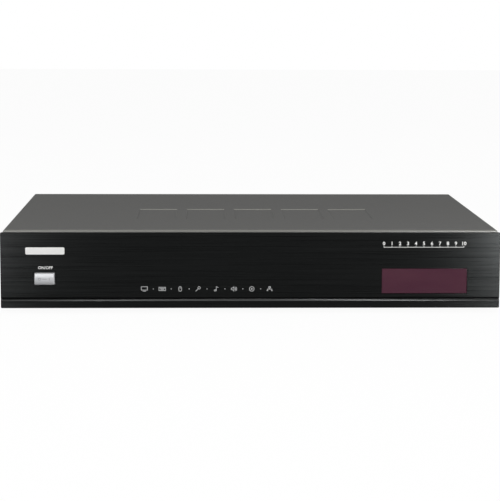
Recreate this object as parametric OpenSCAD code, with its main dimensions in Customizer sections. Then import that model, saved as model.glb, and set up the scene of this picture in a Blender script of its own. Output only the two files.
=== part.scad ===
// Full-width karaoke player with a hard disk: a brushed front plate on a moulded frame, a folded steel
// case, a power board, a main board, a hard disk drive on a carrier, and a small exhaust fan.
// Millimetres. X is the width, Y the depth from front to back, Z is up from the surface it stands on.
// Inside the modules Y counts from the face of the front plate; placed() moves a piece to the row frame.

/* [Case] */
// Width of the front plate, the widest piece
front_w = 430; // [424:1:440]
// Height of the front plate
front_h = 65.5; // [63:0.5:68]
// Depth from the face of the front plate to the rear edge of the cover
body_d = 300; // [298:1:320]
// Height of the feet, from the surface to the underside of the case
foot_h = 7.5; // [6:0.5:10]
// How far the cover's top stands above the front plate
cover_rise = 2; // [1:0.5:3]
// How far the front plate stands out past the cover on each side
plate_overhang = 2; // [1.9:0.1:2.5]

/* [Front] */
// Thickness of the brushed front plate
plate_t = 3; // [2.5:0.1:3]
// Width and height of the display window
window = [73.6, 21.6]; // [60:0.2:74]
// Middle of the display window: X, and height above the plate's lower edge
window_at = [149.7, 23.5]; // [20:0.1:152]
// Width and height of the power button
button = [18, 11.5]; // [10:0.5:18]
// Middle of the power button: X, and height above the plate's lower edge
button_at = [-177.1, 25.8]; // [-180:0.1:26]
// How far the power button stands out of the plate
button_out = 4; // [3.5:0.1:5]
// Width of the engraved line along the foot of the plate
groove_w = 3.6; // [2:0.1:3.8]
// Height of that line above the plate's lower edge
groove_z = 7.9; // [7:0.1:8.5]

/* [Sheet metal] */
// Thickness of the cover, base and rear panel
sheet_t = 1; // [0.8:0.1:1]
// Outer radius of the cover's bends
bend_r = 2.2; // [1.5:0.1:2.4]
// Depth of the stamped panels in the cover
stamp_d = 0.7; // [0.4:0.1:0.8]
// Radius of the case screws' shanks
screw_r = 1.5; // [1.4:0.05:1.5]

/* [Cooling] */
// Side of the square fan
fan_size = 40; // [40:1:42]
// Number of blades on the fan's rotor
blades = 7; // [5:1:9]

/* [Hidden] */
$fn = 48;

// Clearances
hole_gap = 0.1;      // round a screw's shank
fit_gap = 0.3;       // round a piece that drops into an opening
run_gap = 0.05;      // round a shaft that turns in its bore

// Heights
plate_drop = 2.5;                                // how far the plate hangs below the case
plate_z = foot_h - plate_drop;                   // lower edge of the plate
floor_z = foot_h + sheet_t;                      // upper face of the case's floor
top_z = plate_z + front_h + cover_rise;          // upper face of the cover
cover_w = front_w - 2 * plate_overhang;
inner_w = cover_w - 2 * sheet_t;                 // between the cover's sides
case_w = inner_w - 0.8;                          // width of the base and the rear panel
button_z = plate_z + button_at[1];
window_z = plate_z + window_at[1];
groove_mid_z = plate_z + groove_z;

// Depths
cover_y = plate_t + 0.2;                         // front face of the cover
frame_wall = 2.5;                                // moulded frame's wall
frame_back = 17;                                 // rear edge of the frame, on the base's front flange
rear_face = body_d - sheet_t - 0.2;              // outer face of the rear panel
rear_in = rear_face - sheet_t;                   // inner face of the rear panel
jack_out = 9;                                    // how far the phono jacks stand out of the rear panel
jack_end = rear_face + jack_out;
collar_y = rear_face + 1.4;                      // rear face of the jacks' coloured collars
face_y = button_out - (button_out + jack_end) / 2;   // the plate's face in the row frame

// Cover's front lip and rear lip
front_lip_z = top_z - 6;
rear_top = top_z - sheet_t - 0.8;                // top of the rear panel, clear of the cover's bend
rear_lip_z = top_z - 8;
lip_screw_z = top_z - 4.5;
lip_screw_x = [-150, 0, 150];
side_screw_y = [45, 255];
side_screw_z = floor_z + 6;
flange_h = 12.5;                                 // base's side and front flanges, from its underside

// Stamped panels on the cover's top, measured at their floor; their walls lean out by stamp_lean
stamps = 5;
stamp_size = [34.4, 76.4];
stamp_lean = 1.2;
stamp_pitch = 44.5;
stamp_at = [6, 123];

// Side vents in the cover: first slot's Y, and how many
vent_slot = [2.5, 26];
vent_pitch = 7;
vent_groups = [[75, 11], [175, 11]];
vent_z = 42;

// Front frame
frame_w = case_w - 2;
frame_z = [floor_z, top_z - 7];
frame_screw_x = [-198, -100, 0, 98, 200];
frame_screw_z = floor_z + 6.5;
pocket_gap = 2.3;                                // window's flange beyond its face on each side
board_y = 13.4;                                  // front face of the front circuit board
board_t = 1.6;
front_board_box = [108, 190, floor_z + 3, floor_z + 41];    // x from, x to, z from, z to
front_board_hole = 4;                            // holes' inset from the board's corners

// Power button and its switch
button_flange = [22, 15];
flange_y = plate_t + frame_wall + 0.2;
stem = 7;
plunger = 3;
switch_y = 19.6;                                 // front face of the switch, on the base's tab
switch_size = [13, 22, 13];
tab_w = 34;
tab_screw = 11.5;                                // screws' distance from the switch's middle

// Feet
foot_x = 180;
foot_y = [50, 265];
foot_r = [10, 12];

// Circuit boards on the floor
standoff_h = 8;
board_z = floor_z + standoff_h;                  // underside of both boards
board_top = board_z + board_t;
power_box = [-205, -112, 130, 275];              // x from, x to, y from, y to
main_box = [-90, 100, 134, 295];
main_holes = [[-85, 139], [5, 139], [95, 139], [-85, 262], [28, 262], [95, 262]];
power_holes = [[-200, 135], [-117, 135], [-200, 270], [-117, 270]];
board_hole_r = 1.6;

// Cooling slots in the floor, under the main board: the middle of each group's first slot
floor_slot = [5.6, 36];
floor_slot_pitch = 9.5;
floor_slot_at = [[-52, 205], [20, 205]];

// Rear sockets, each X
jack_cols = [52, 66, 80];
jack_z = board_top + 8;
jack_r = 4.125;
jack_pin_r = 1.65;
usb_x = [10, 30];
lan_x = -14;
hdmi_x = -38;
vga_x = -66;
inlet_at = [-165, 38];
fan_at = [150, 40];
fan_d = 10;
rear_seams = [-95, 42];                          // between the sheets of the rear panel
rear_flange_screw_x = [-200, -103, -87, 34, 50, 200];
rear_flange_screw_z = foot_h + 4;

// Hard disk drive: its middle, and its heights
disk_at = [155.5, 130];
disk_size = [101.6, 146];
disk_z = floor_z + 5;
casting_z = disk_z + 1.4;
casting_h = 22.7;
cavity_z = casting_z + 4.7;
lid_z = casting_z + casting_h;
spindle = [0, 22];                               // from the drive's middle
pivot = [20, -31];
platter_r = [12.5, 47.5];
platter_t = 1.3;
platter_zs = [cavity_z + 4, cavity_z + 8.5];
arm_l = 51;
arm_t = 1.2;
// The arms are parked just off the platters' edge, and the coil is on the barrel's far side.
arm_angle = atan2(spindle[1] - pivot[1], spindle[0] - pivot[0]) + 55;
coil_angle = arm_angle - 225;
side_hole_y = [-44.5, 56];                       // side screws along the drive
side_hole_z = disk_z + 6.35;
rubber_t = 2;

// ---------------------------------------------------------------- shared shapes

module placed() {
    translate([0, face_y, 0]) children();
}

// A rectangle about the origin, with round corners of radius r.
module round_rect(w, h, r) {
    square([w - 2 * r, h], center = true);
    square([w, h - 2 * r], center = true);
    for (x = [-1, 1], y = [-1, 1])
        translate([x * (w / 2 - r), y * (h / 2 - r)]) circle(r);
}

// Extrudes a profile drawn in X and Z from y0 back to y1.
module along_y(y0, y1) {
    translate([0, y1, 0]) rotate([90, 0, 0]) linear_extrude(y1 - y0) children();
}

// Extrudes a profile drawn in Y and Z from x0 to x1.
module along_x(x0, x1) {
    translate([x0, 0, 0]) rotate([90, 0, 90]) linear_extrude(x1 - x0) children();
}

// A box from its lowest to its highest corner.
module span(a, b) {
    translate(a) cube(b - a);
}

// A rod on a line along Y.
module rod_y(x, z, y0, y1, r) {
    translate([x, y0, z]) rotate([-90, 0, 0]) cylinder(r = r, h = y1 - y0);
}

// A cross-head machine screw: its shank points along -Z, and its head stands on z = 0.
module screw(length, r = screw_r, head_r = 2.8, head_h = 1.8) {
    translate([0, 0, -length]) cylinder(r = r, h = length);
    difference() {
        union() {
            cylinder(r = head_r, h = head_h * 0.55);
            translate([0, 0, head_h * 0.55])
                cylinder(r1 = head_r, r2 = head_r * 0.72, h = head_h * 0.45);
        }
        for (a = [0, 90]) rotate(a)
            translate([-head_r * 0.55, -0.3, head_h - 1]) cube([head_r * 1.1, 0.6, 1.1]);
    }
}

// A row of upright slots with round ends, drawn in two dimensions.
module slots(count, size, pitch) {
    r = size[0] / 2;
    for (i = [0:count - 1]) translate([i * pitch, 0]) {
        square([size[0], size[1] - size[0]], center = true);
        for (s = [-1, 1]) translate([0, s * (size[1] / 2 - r)]) circle(r);
    }
}

// A flat cable standing on edge: the outline of a path of points, thickness t.
function unit2(v) = v / norm(v);
function side2(v) = [-v[1], v[0]];
function path_normal(p, i) =
    let (n = len(p) - 1,
         a = side2(unit2(p[min(i + 1, n)] - p[min(i, n - 1)])),
         b = side2(unit2(p[max(i, 1)] - p[max(i - 1, 0)])),
         m = unit2(a + b))
    m / max(0.5, m * a);
function ribbon(p, t) = concat(
    [for (i = [0:len(p) - 1]) p[i] + path_normal(p, i) * t / 2],
    [for (i = [len(p) - 1:-1:0]) p[i] - path_normal(p, i) * t / 2]);

// A quarter turn about c from angle a, for a path.
function turn(c, r, a, sweep, steps = 6) =
    [for (i = [0:steps]) c + r * [cos(a + sweep * i / steps), sin(a + sweep * i / steps)]];

// A round wire through points: a smooth curve swept with sides faces round it.
wire_sides = 8;
wire_steps = 4;
function spline(p, i, t) =
    let (a = p[max(i - 1, 0)], b = p[i], c = p[i + 1], d = p[min(i + 2, len(p) - 1)])
    0.5 * (2 * b + (c - a) * t + (2 * a - 5 * b + 4 * c - d) * t * t + (3 * b - a - 3 * c + d) * t * t * t);
function smooth(p) = concat(
    [for (i = [0:len(p) - 2], s = [0:wire_steps - 1]) spline(p, i, s / wire_steps)], [p[len(p) - 1]]);
function unit3(v) = v / norm(v);
module wire(points, r) {
    q = smooth(points);
    n = len(q);
    rings = [for (i = [0:n - 1])
        let (t = unit3(q[min(i + 1, n - 1)] - q[max(i - 1, 0)]),
             u = unit3(cross(t, [1, 0.02, 0.03])),
             v = cross(t, u))
        for (k = [0:wire_sides - 1])
            q[i] + r * (cos(360 * k / wire_sides) * u + sin(360 * k / wire_sides) * v)];
    walls = [for (i = [0:n - 2], k = [0:wire_sides - 1])
        let (a = i * wire_sides, b = (k + 1) % wire_sides)
        [a + k, a + b, a + wire_sides + b, a + wire_sides + k]];
    polyhedron(rings, concat(walls,
        [[for (k = [wire_sides - 1:-1:0]) k]],
        [[for (k = [0:wire_sides - 1]) (n - 1) * wire_sides + k]]), convexity = 8);
}

// ---------------------------------------------------------------- front

// Brushed aluminium plate, black: a flat face with a fine engraved line, square cut openings.
module front_plate() {
    edge = 0.35;
    mid_z = plate_z + front_h / 2;
    color("#1b1c1c") difference() {
        intersection() {
            along_y(0, plate_t) translate([0, mid_z]) round_rect(front_w, front_h, 1.2);
            along_x(-front_w / 2, front_w / 2)
                polygon([[0, plate_z + edge], [edge, plate_z], [plate_t, plate_z],
                         [plate_t, plate_z + front_h], [edge, plate_z + front_h],
                         [0, plate_z + front_h - edge]]);
            translate([0, 0, plate_z]) linear_extrude(front_h)
                polygon([[-front_w / 2, edge], [-front_w / 2 + edge, 0], [front_w / 2 - edge, 0],
                         [front_w / 2, edge], [front_w / 2, plate_t], [-front_w / 2, plate_t]]);
        }
        along_y(-1, plate_t + 1) {
            translate([window_at[0], window_z])
                square([window[0] + 0.4, window[1] + 0.4], center = true);
            translate([button_at[0], button_z])
                round_rect(button[0] + 2 * fit_gap, button[1] + 2 * fit_gap, 0.8);
        }
        along_x(-front_w, front_w)
            polygon([[-0.1, groove_mid_z - groove_w / 2], [groove_w * 0.45, groove_mid_z],
                     [-0.1, groove_mid_z + groove_w / 2]]);
    }
}

// Moulded frame behind the plate, with a rim, a pocket for the window and guides for the button.
module front_frame() {
    wall_y = plate_t + frame_wall;
    mid_z = (frame_z[0] + frame_z[1]) / 2;
    h = frame_z[1] - frame_z[0];
    b = front_board_box;
    color("#202020") difference() {
        union() {
            along_y(plate_t, wall_y) translate([0, mid_z]) square([frame_w, h], center = true);
            along_y(wall_y, frame_back) translate([0, mid_z]) difference() {
                square([frame_w, h], center = true);
                square([frame_w - 4, h - 4], center = true);
            }
            along_y(wall_y, 12) translate([button_at[0], button_z]) difference() {
                round_rect(button_flange[0] + 4, button_flange[1] + 4, 1.5);
                square([button_flange[0] + 2 * fit_gap, button_flange[1] + 2 * fit_gap], center = true);
            }
            for (x = frame_screw_x) rod_y(x, frame_screw_z, wall_y, frame_back, 3.5);
            for (x = [b[0] + front_board_hole, b[1] - front_board_hole],
                 z = [b[2] + front_board_hole, b[3] - front_board_hole])
                rod_y(x, z, wall_y, board_y, 3);
            // stiffening ribs between the button and the display
            for (x = [-130, -60, 20, 75])
                span([x - 0.75, wall_y, frame_z[0] + 2], [x + 0.75, 13, frame_z[1] - 2]);
        }
        along_y(0, wall_y + 1) {
            translate([window_at[0], window_z])
                square([window[0] + 2 * pocket_gap, window[1] + 2 * pocket_gap], center = true);
            translate([button_at[0], button_z])
                round_rect(button[0] + 4 * fit_gap, button[1] + 4 * fit_gap, 1);
        }
        for (x = frame_screw_x) rod_y(x, frame_screw_z, wall_y + 2, frame_back + 1, screw_r + hole_gap);
        for (x = [b[0] + front_board_hole, b[1] - front_board_hole],
             z = [b[2] + front_board_hole, b[3] - front_board_hole])
            rod_y(x, z, wall_y + 1, board_y + 1, 1.1);
    }
}

// Tinted acrylic filter: its face stands in the plate's opening, its flange in the frame's pocket.
module display_window() {
    color("#4b2e38") {
        along_y(0.5, plate_t) translate([window_at[0], window_z]) square(window, center = true);
        along_y(plate_t, plate_t + 1.8) translate([window_at[0], window_z])
            square([window[0] + 4, window[1] + 4], center = true);
    }
}

module front_board() {
    b = front_board_box;
    color("#1f5a36") difference() {
        span([b[0], board_y, b[2]], [b[1], board_y + board_t, b[3]]);
        for (x = [b[0] + front_board_hole, b[1] - front_board_hole],
             z = [b[2] + front_board_hole, b[3] - front_board_hole])
            rod_y(x, z, board_y - 1, board_y + board_t + 1, 1.2);
    }
}

// Numeric display: a black block with raised bars, seven to each digit.
digit_pitch = 9;
digit = [5.4, 11];
module display_module() {
    bar = 1;
    x0 = window_at[0] - 30;
    color("#d8d4cf") {
        span([x0, board_y - 6, window_z - 8.5], [x0 + 6 * digit_pitch, board_y, window_z + 8.5]);
        for (i = [0:5]) translate([x0 + (i + 0.5) * digit_pitch, board_y - 6, window_z]) {
            for (z = [-digit[1] / 2, 0, digit[1] / 2])
                translate([-digit[0] / 2 + bar, -0.4, z - bar / 2]) cube([digit[0] - 2 * bar, 0.5, bar]);
            for (x = [-1, 1], z = [-1, 1])
                translate([x * digit[0] / 2 - bar / 2, -0.4, z * digit[1] / 4 - digit[1] / 4 + bar * 0.65])
                    cube([bar, 0.5, digit[1] / 2 - bar * 1.3]);
        }
    }
}

// Remote-control receiver behind the right end of the window.
module ir_receiver() {
    x = window_at[0] + 31;
    color("#26262a") {
        span([x - 3.5, board_y - 4.5, window_z - 5], [x + 3.5, board_y, window_z + 5]);
        translate([x, board_y - 4.5, window_z]) sphere(r = 2.2);
    }
}

module front_board_screws() {
    b = front_board_box;
    color("silver") for (x = [b[0] + front_board_hole, b[1] - front_board_hole],
                         z = [b[2] + front_board_hole, b[3] - front_board_hole])
        translate([x, board_y + board_t, z]) rotate([-90, 0, 0])
            screw(6, r = 1, head_r = 2, head_h = 1.2);
}

// Satin silver cap with a retaining flange and a hollow stem, pressed on the switch's plunger.
module power_button() {
    color("#c9cacb") translate([button_at[0], 0, button_z]) difference() {
        union() {
            along_y(-button_out + 0.6, flange_y) round_rect(button[0], button[1], 0.6);
            along_y(-button_out, -button_out + 0.6)
                round_rect(button[0] - 0.8, button[1] - 0.8, 0.6);
            along_y(flange_y, flange_y + 1.2) square(button_flange, center = true);
            along_y(flange_y + 1.2, 15) square(stem, center = true);
        }
        along_y(10, 16) square(plunger + 2 * run_gap, center = true);
    }
}

module switch_plunger() {
    color("#e8e8e4") translate([button_at[0], 0, button_z])
        along_y(10.2, switch_y + 6.5) square(plunger, center = true);
}

// Latching mains switch, screwed to the tab on the base.
module power_switch() {
    s = switch_size;
    color("#2b2b2e") translate([button_at[0], 0, button_z]) {
        difference() {
            union() {
                along_y(switch_y, switch_y + s[1]) square([s[0], s[2]], center = true);
                along_y(switch_y, switch_y + 2) square([2 * tab_screw + 7, 9], center = true);
            }
            along_y(switch_y - 1, switch_y + 11) square(plunger + 2 * fit_gap, center = true);
            for (x = [-tab_screw, tab_screw]) rod_y(x, 0, switch_y - 1, switch_y + 3, screw_r + hole_gap);
        }
        for (x = [-4, 4], z = [-4, 4])
            span([x - 0.4, switch_y + s[1], z - 1.2], [x + 0.4, switch_y + s[1] + 5, z + 1.2]);
    }
}

// ---------------------------------------------------------------- case

// Folded steel tray: floor, low flanges on all four sides and a tab that carries the switch.
module chassis_base() {
    w = case_w / 2;
    color("#b9bcbd") difference() {
        union() {
            span([-w, frame_back, foot_h], [w, rear_in, floor_z]);
            for (s = [-1, 1]) translate([s * (w - sheet_t / 2), 0, 0])
                span([-sheet_t / 2, frame_back, foot_h], [sheet_t / 2, rear_in, foot_h + flange_h]);
            span([-w, frame_back, foot_h], [w, frame_back + sheet_t, foot_h + flange_h]);
            span([-w, rear_in - sheet_t, foot_h], [w, rear_in, foot_h + 7]);
            // tab for the switch, bent up out of the floor
            span([button_at[0] - tab_w / 2, switch_y - sheet_t, foot_h],
                 [button_at[0] + tab_w / 2, switch_y, button_z + 8]);
        }
        along_y(switch_y - 1.5, switch_y + 1) translate([button_at[0], button_z]) {
            square(stem + 1.6, center = true);
            for (x = [-tab_screw, tab_screw]) translate([x, 0]) circle(screw_r + hole_gap);
        }
        for (x = frame_screw_x) rod_y(x, frame_screw_z, frame_back - 1, frame_back + 2, screw_r + hole_gap);
        for (x = rear_flange_screw_x)
            rod_y(x, rear_flange_screw_z, rear_in - 2, rear_in + 1, screw_r + hole_gap);
        for (s = [-1, 1], y = side_screw_y)
            translate([s * w, y, side_screw_z]) rotate([0, 90, 0])
                cylinder(r = screw_r + hole_gap, h = 4, center = true);
        for (p = concat(foot_points(), main_holes, power_holes, carrier_points()))
            translate([p[0], p[1], foot_h - 1]) cylinder(r = screw_r + hole_gap, h = 3);
        translate([0, 0, foot_h - 1]) linear_extrude(3)
            for (p = floor_slot_at) translate(p) slots(6, floor_slot, floor_slot_pitch);
    }
}

function foot_points() = [for (x = [-foot_x, foot_x], y = foot_y) [x, y]];
function carrier_points() = [for (x = [-38, 38], y = [-55, 55]) disk_at + [x, y]];

// Steel rear, in three sheets side by side: one for the mains inlet and a row of vents, one for the main
// board's square sockets, and one for the phono jacks and the fan. Each is screwed to the base and the cover.
module rear_panel() {
    w = case_w / 2;
    color("#2a2b2b") difference() {
        union() {
            span([-w, rear_in, foot_h], [w, rear_face, rear_top]);
            for (s = [-1, 1]) translate([s * (w - sheet_t / 2), 0, 0])
                span([-sheet_t / 2, rear_in - 9, foot_h + flange_h + 2],
                     [sheet_t / 2, rear_in, rear_top]);
        }
        along_y(rear_in - 1, rear_face + 1) {
            for (x = jack_cols) translate([x, jack_z]) circle(5.3);
            for (x = usb_x) translate([x, board_top + 8])
                square([14.5 + fit_gap, 16 + fit_gap], center = true);
            translate([lan_x, board_top + 6.75]) square([16 + fit_gap, 13.5 + fit_gap], center = true);
            translate([hdmi_x, board_top + 3]) square([15 + fit_gap, 6 + fit_gap], center = true);
            translate([vga_x, board_top + 6.25]) {
                round_rect(17.4, 9, 1.5);
                for (s = [-1, 1]) translate([s * 12.5, 0]) circle(2.1);
            }
            translate(inlet_at) {
                square([27.6, 20], center = true);
                for (s = [-1, 1]) translate([s * 20, 0]) circle(screw_r + hole_gap);
            }
            translate(fan_at) {
                intersection() {
                    difference() {
                        circle(18);
                        circle(5);
                    }
                    for (i = [-3:3]) translate([0, i * 5]) square([40, 3.2], center = true);
                }
                for (x = [-16, 16], z = [-16, 16]) translate([x, z]) circle(screw_r + hole_gap);
            }
            translate([-128, 42]) slots(5, [2.5, 26], 7);
            for (x = rear_seams) translate([x - hole_gap, 0]) square([2 * hole_gap, top_z]);
            for (x = lip_screw_x) translate([x, lip_screw_z]) circle(screw_r + hole_gap);
            for (x = rear_flange_screw_x) translate([x, rear_flange_screw_z]) circle(screw_r + hole_gap);
        }
    }
}

// The cover's outer block, taken in by g on its five closed sides.
module cover_block(g) {
    r = bend_r - g;
    z1 = top_z - bend_r;
    intersection() {
        along_y(cover_y, body_d) {
            translate([-cover_w / 2 + g, foot_h - 2 * g]) square([cover_w - 2 * g, z1 - foot_h + 2 * g]);
            translate([-cover_w / 2 + bend_r, z1 - 1]) square([cover_w - 2 * bend_r, r + 1]);
            for (s = [-1, 1]) translate([s * (cover_w / 2 - bend_r), z1]) circle(r);
        }
        along_x(-cover_w / 2, cover_w / 2) {
            translate([cover_y + g, foot_h - 2 * g]) square([body_d - cover_y - 2 * g, z1 - foot_h + 2 * g]);
            translate([cover_y + bend_r, z1 - 1]) square([body_d - cover_y - 2 * bend_r, r + 1]);
            for (y = [cover_y + bend_r, body_d - bend_r]) translate([y, z1]) circle(r);
        }
    }
}

// The stamped panels' shape from one height up to another, widened all round by grow.
module stamped(low, high, grow) {
    a = stamp_size / 2 + [grow, grow];
    b = a + (high - low) * stamp_lean * [1, 1];
    for (i = [0:stamps - 1])
        translate([stamp_at[0] + (i - (stamps - 1) / 2) * stamp_pitch, stamp_at[1], 0]) intersection() {
            along_x(-b[0], b[0]) polygon([[-a[1], low], [a[1], low], [b[1], high], [-b[1], high]]);
            along_y(-b[1], b[1]) polygon([[-a[0], low], [a[0], low], [b[0], high], [-b[0], high]]);
        }
}

// Painted steel cover: top, two sides, a short lip behind the front plate and another at the rear.
module top_cover() {
    in = inner_w / 2;
    color("#646462") difference() {
        union() {
            difference() {
                cover_block(0);
                cover_block(sheet_t);
                span([-in, cover_y - 1, foot_h - 1], [in, cover_y + 2, front_lip_z]);
                span([-in, body_d - 2, foot_h - 1], [in, body_d + 1, rear_lip_z]);
            }
            stamped(top_z - sheet_t - stamp_d, top_z - sheet_t + 0.1, 0.6);
        }
        stamped(top_z - stamp_d, top_z + 1, 0);
        for (g = vent_groups) along_x(-cover_w, cover_w) translate([g[0], vent_z])
            slots(g[1], vent_slot, vent_pitch);
        for (s = [-1, 1], y = side_screw_y)
            translate([s * cover_w / 2, y, side_screw_z]) rotate([0, 90, 0])
                cylinder(r = screw_r + hole_gap, h = 4, center = true);
        for (x = lip_screw_x) rod_y(x, lip_screw_z, body_d - 2, body_d + 1, screw_r + hole_gap);
    }
}

module cover_screws() {
    color("#1c1c1c") {
        for (s = [-1, 1], y = side_screw_y)
            translate([s * cover_w / 2, y, side_screw_z]) rotate([0, s * 90, 0]) screw(5, head_h = 1.6);
        for (x = lip_screw_x) translate([x, body_d, lip_screw_z]) rotate([-90, 0, 0]) screw(6);
    }
}

module rear_panel_screws() {
    color("#1c1c1c") {
        for (x = rear_flange_screw_x)
            translate([x, rear_face, rear_flange_screw_z]) rotate([-90, 0, 0]) screw(6);
        for (s = [-1, 1]) translate([inlet_at[0] + s * 20, rear_face + 2, inlet_at[1]])
            rotate([-90, 0, 0]) screw(7);
        for (x = [-16, 16], z = [-16, 16]) translate([fan_at[0] + x, rear_face, fan_at[1] + z])
            rotate([-90, 0, 0]) screw(10);
    }
}

// Screws from inside the case: the frame's into its bosses, the switch's into its ears.
module front_screws() {
    color("silver") {
        for (x = frame_screw_x) translate([x, frame_back + sheet_t, frame_screw_z])
            rotate([-90, 0, 0]) screw(9);
        for (x = [-tab_screw, tab_screw])
            translate([button_at[0] + x, switch_y + 2, button_z]) rotate([-90, 0, 0]) screw(4, head_r = 2.4);
    }
}

// Rubber foot: a short cone, hollow from below, where its screw's head sits.
module foot(x, y) {
    color("#161616") translate([x, y, 0]) difference() {
        cylinder(r1 = foot_r[0], r2 = foot_r[1], h = foot_h);
        translate([0, 0, -1]) cylinder(r = 4.5, h = 4.5);
        cylinder(r = screw_r + hole_gap, h = foot_h + 1);
    }
}

module foot_screws() {
    color("silver") for (p = foot_points())
        translate([p[0], p[1], 3.5]) rotate([180, 0, 0]) screw(foot_h - 3.5 + sheet_t + 2);
}

// ---------------------------------------------------------------- power supply

module circuit_board(box, holes, tint) {
    color(tint) difference() {
        span([box[0], box[2], board_z], [box[1], box[3], board_top]);
        for (p = holes) translate([p[0], p[1], board_z - 1]) cylinder(r = board_hole_r, h = board_t + 2);
    }
}

module power_board() {
    circuit_board(power_box, power_holes, "#8a6a2c");
}

module board_standoffs() {
    color("#c9a54a") for (p = concat(main_holes, power_holes)) translate([p[0], p[1], floor_z])
        difference() {
            cylinder(r = 3, h = standoff_h, $fn = 6);
            translate([0, 0, -1]) cylinder(r = screw_r + hole_gap, h = standoff_h + 2);
        }
}

// The boards' screws, and the short ones that hold the standoffs from below.
module board_screws() {
    color("silver") for (p = concat(main_holes, power_holes)) {
        translate([p[0], p[1], board_top]) screw(4.5);
        translate([p[0], p[1], foot_h]) rotate([180, 0, 0]) screw(4, head_h = 1.4);
    }
}

module bulk_capacitor() {
    color("#23232b") translate([-148, 228, board_top]) {
        cylinder(r = 11, h = 1.5);
        translate([0, 0, 1.5]) cylinder(r = 10.6, h = 1);
        translate([0, 0, 2.5]) cylinder(r = 11, h = 28);
    }
}

// Ferrite core with its winding block.
module power_transformer() {
    color("#8f8a3e") translate([-180, 172, board_top]) {
        translate([-12, -14, 0]) cube([24, 28, 4]);
        difference() {
            translate([-17, -8, 4]) cube([34, 16, 22]);
            for (s = [-1, 1]) translate([s * 10.5, 0, 15]) cube([7, 17, 12], center = true);
        }
        for (s = [-1, 1]) translate([-13, s * 11 - 3, 8]) cube([26, 6, 14]);
    }
}

module line_filter_choke() {
    color("#33302c") translate([-186, 222, board_top]) {
        translate([-9, -11, 0]) cube([18, 22, 3]);
        difference() {
            translate([-8, -10, 3]) cube([16, 20, 16]);
            translate([-9, -4, 7]) cube([18, 8, 8]);
        }
    }
}

// Two finned aluminium strips for the power transistors.
module power_heat_sinks() {
    color("#a7aaac") for (p = [[-178, 196], [-162, 146]]) translate([p[0], p[1], board_top]) {
        cube([46, 2.5, 26]);
        for (i = [0:5]) translate([i * 8.5, 2.5, 3]) cube([1.5, 5, 23]);
    }
}

module mains_fuse() {
    color("#d8dcdc") translate([-199, 240, board_top + 6]) {
        rotate([-90, 0, 0]) cylinder(r = 2.5, h = 20);
        for (y = [1, 14]) translate([-3.2, y, -6]) difference() {
            cube([6.4, 5, 8]);
            translate([3.2, 2.5, 6]) rotate([90, 0, 0]) cylinder(r = 2.5, h = 9, center = true);
        }
    }
}

// Electrolytic capacitors on both boards: x, y, radius, height.
cans = [[-134, 165, 5, 20], [-134, 179, 5, 20], [-121, 184, 4, 16], [-121, 198, 5, 20],
        [-60, 240, 4, 10], [-70, 225, 4, 10], [-60, 180, 3, 8], [-45, 160, 3, 8],
        [30, 160, 3, 8], [45, 240, 4, 10], [62, 250, 4, 10], [75, 235, 4, 10]];
module small_capacitors() {
    color("#1d2748") for (c = cans) translate([c[0], c[1], board_top]) {
        cylinder(r = c[2], h = 1);
        translate([0, 0, 1]) cylinder(r = c[2] - 0.3, h = 0.6);
        translate([0, 0, 1.6]) cylinder(r = c[2], h = c[3] - 1.6);
    }
}

// Three-pin mains inlet with a screwed flange.
inlet_cavity = [24, 16, 15];
module mains_inlet() {
    color("#1a1a1a") translate([inlet_at[0], 0, inlet_at[1]]) {
        difference() {
            union() {
                along_y(rear_face, rear_face + 2) round_rect(50, 22.6, 4);
                along_y(rear_in - 14, rear_face) round_rect(27, 19.4, 2);
            }
            along_y(rear_face + 2 - inlet_cavity[2], rear_face + 3)
                round_rect(inlet_cavity[0], inlet_cavity[1], 2.5);
            for (s = [-1, 1]) rod_y(s * 20, 0, rear_face - 1, rear_face + 3, screw_r + hole_gap);
        }
        pin_y = rear_face + 2 - inlet_cavity[2];
        for (s = [-1, 1]) span([s * 7 - 1, pin_y, -4], [s * 7 + 1, pin_y + 12, 0]);
        span([-1, pin_y, 0.5], [1, pin_y + 12, 4.5]);
        for (x = [-7, 0, 7]) span([x - 3, rear_in - 20, -0.4], [x + 3, rear_in - 14, 0.4]);
    }
}

// Insulated mains wires: from the inlet to the power board, and from the switch along the left side.
module mains_wires() {
    tab_y = rear_in - 20;
    sy = switch_y + switch_size[1] + 5;
    color("#6b3a22") {
        for (s = [-1, 1]) wire([[inlet_at[0] + s * 7, tab_y, inlet_at[1]],
            [inlet_at[0] + s * 7, tab_y - 5, inlet_at[1] + 0.5], [inlet_at[0] + s * 6, tab_y - 12, 34],
            [inlet_at[0] + s * 4, tab_y - 16, 26], [inlet_at[0] + s * 3, tab_y - 18, board_top + 1]], 1.1);
        for (s = [-1, 1]) wire([[button_at[0] + s * 4, sy, button_z - 4],
            [button_at[0] + s * 4, sy + 6, button_z - 4.3], [button_at[0] + s * 3, sy + 18, 19],
            [button_at[0] + s * 2, sy + 34, 13], [button_at[0] + s * 2, 100, 13],
            [button_at[0] + s * 2, 118, 14], [button_at[0] + s * 2.2, 128, 22],
            [button_at[0] + s * 3, 136, 26], [button_at[0] + s * 3, 141, board_top + 1]], 1.1);
    }
}

// ---------------------------------------------------------------- main board

module main_board() {
    circuit_board(main_box, main_holes, "#14503a");
}

chips = [[5, 215, 27, 2], [-38, 205, 12, 1.2], [-38, 222, 12, 1.2], [5, 172, 14, 1.2], [62, 212, 18, 1.6],
         [-62, 205, 10, 1.2], [60, 186, 14, 1.4]];
module main_chips() {
    color("#1e1f22") for (c = chips)
        translate([c[0] - c[2] / 2, c[1] - c[2] / 2, board_top]) cube([c[2], c[2], c[3]]);
}

module heat_sink() {
    side = 38;
    color("#8e9294") translate([chips[0][0] - side / 2, chips[0][1] - side / 2, board_top + chips[0][3]]) {
        cube([side, side, 3]);
        for (i = [0:7]) translate([i * 5.2, 0, 3]) cube([1.6, side, 15]);
    }
}

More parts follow.
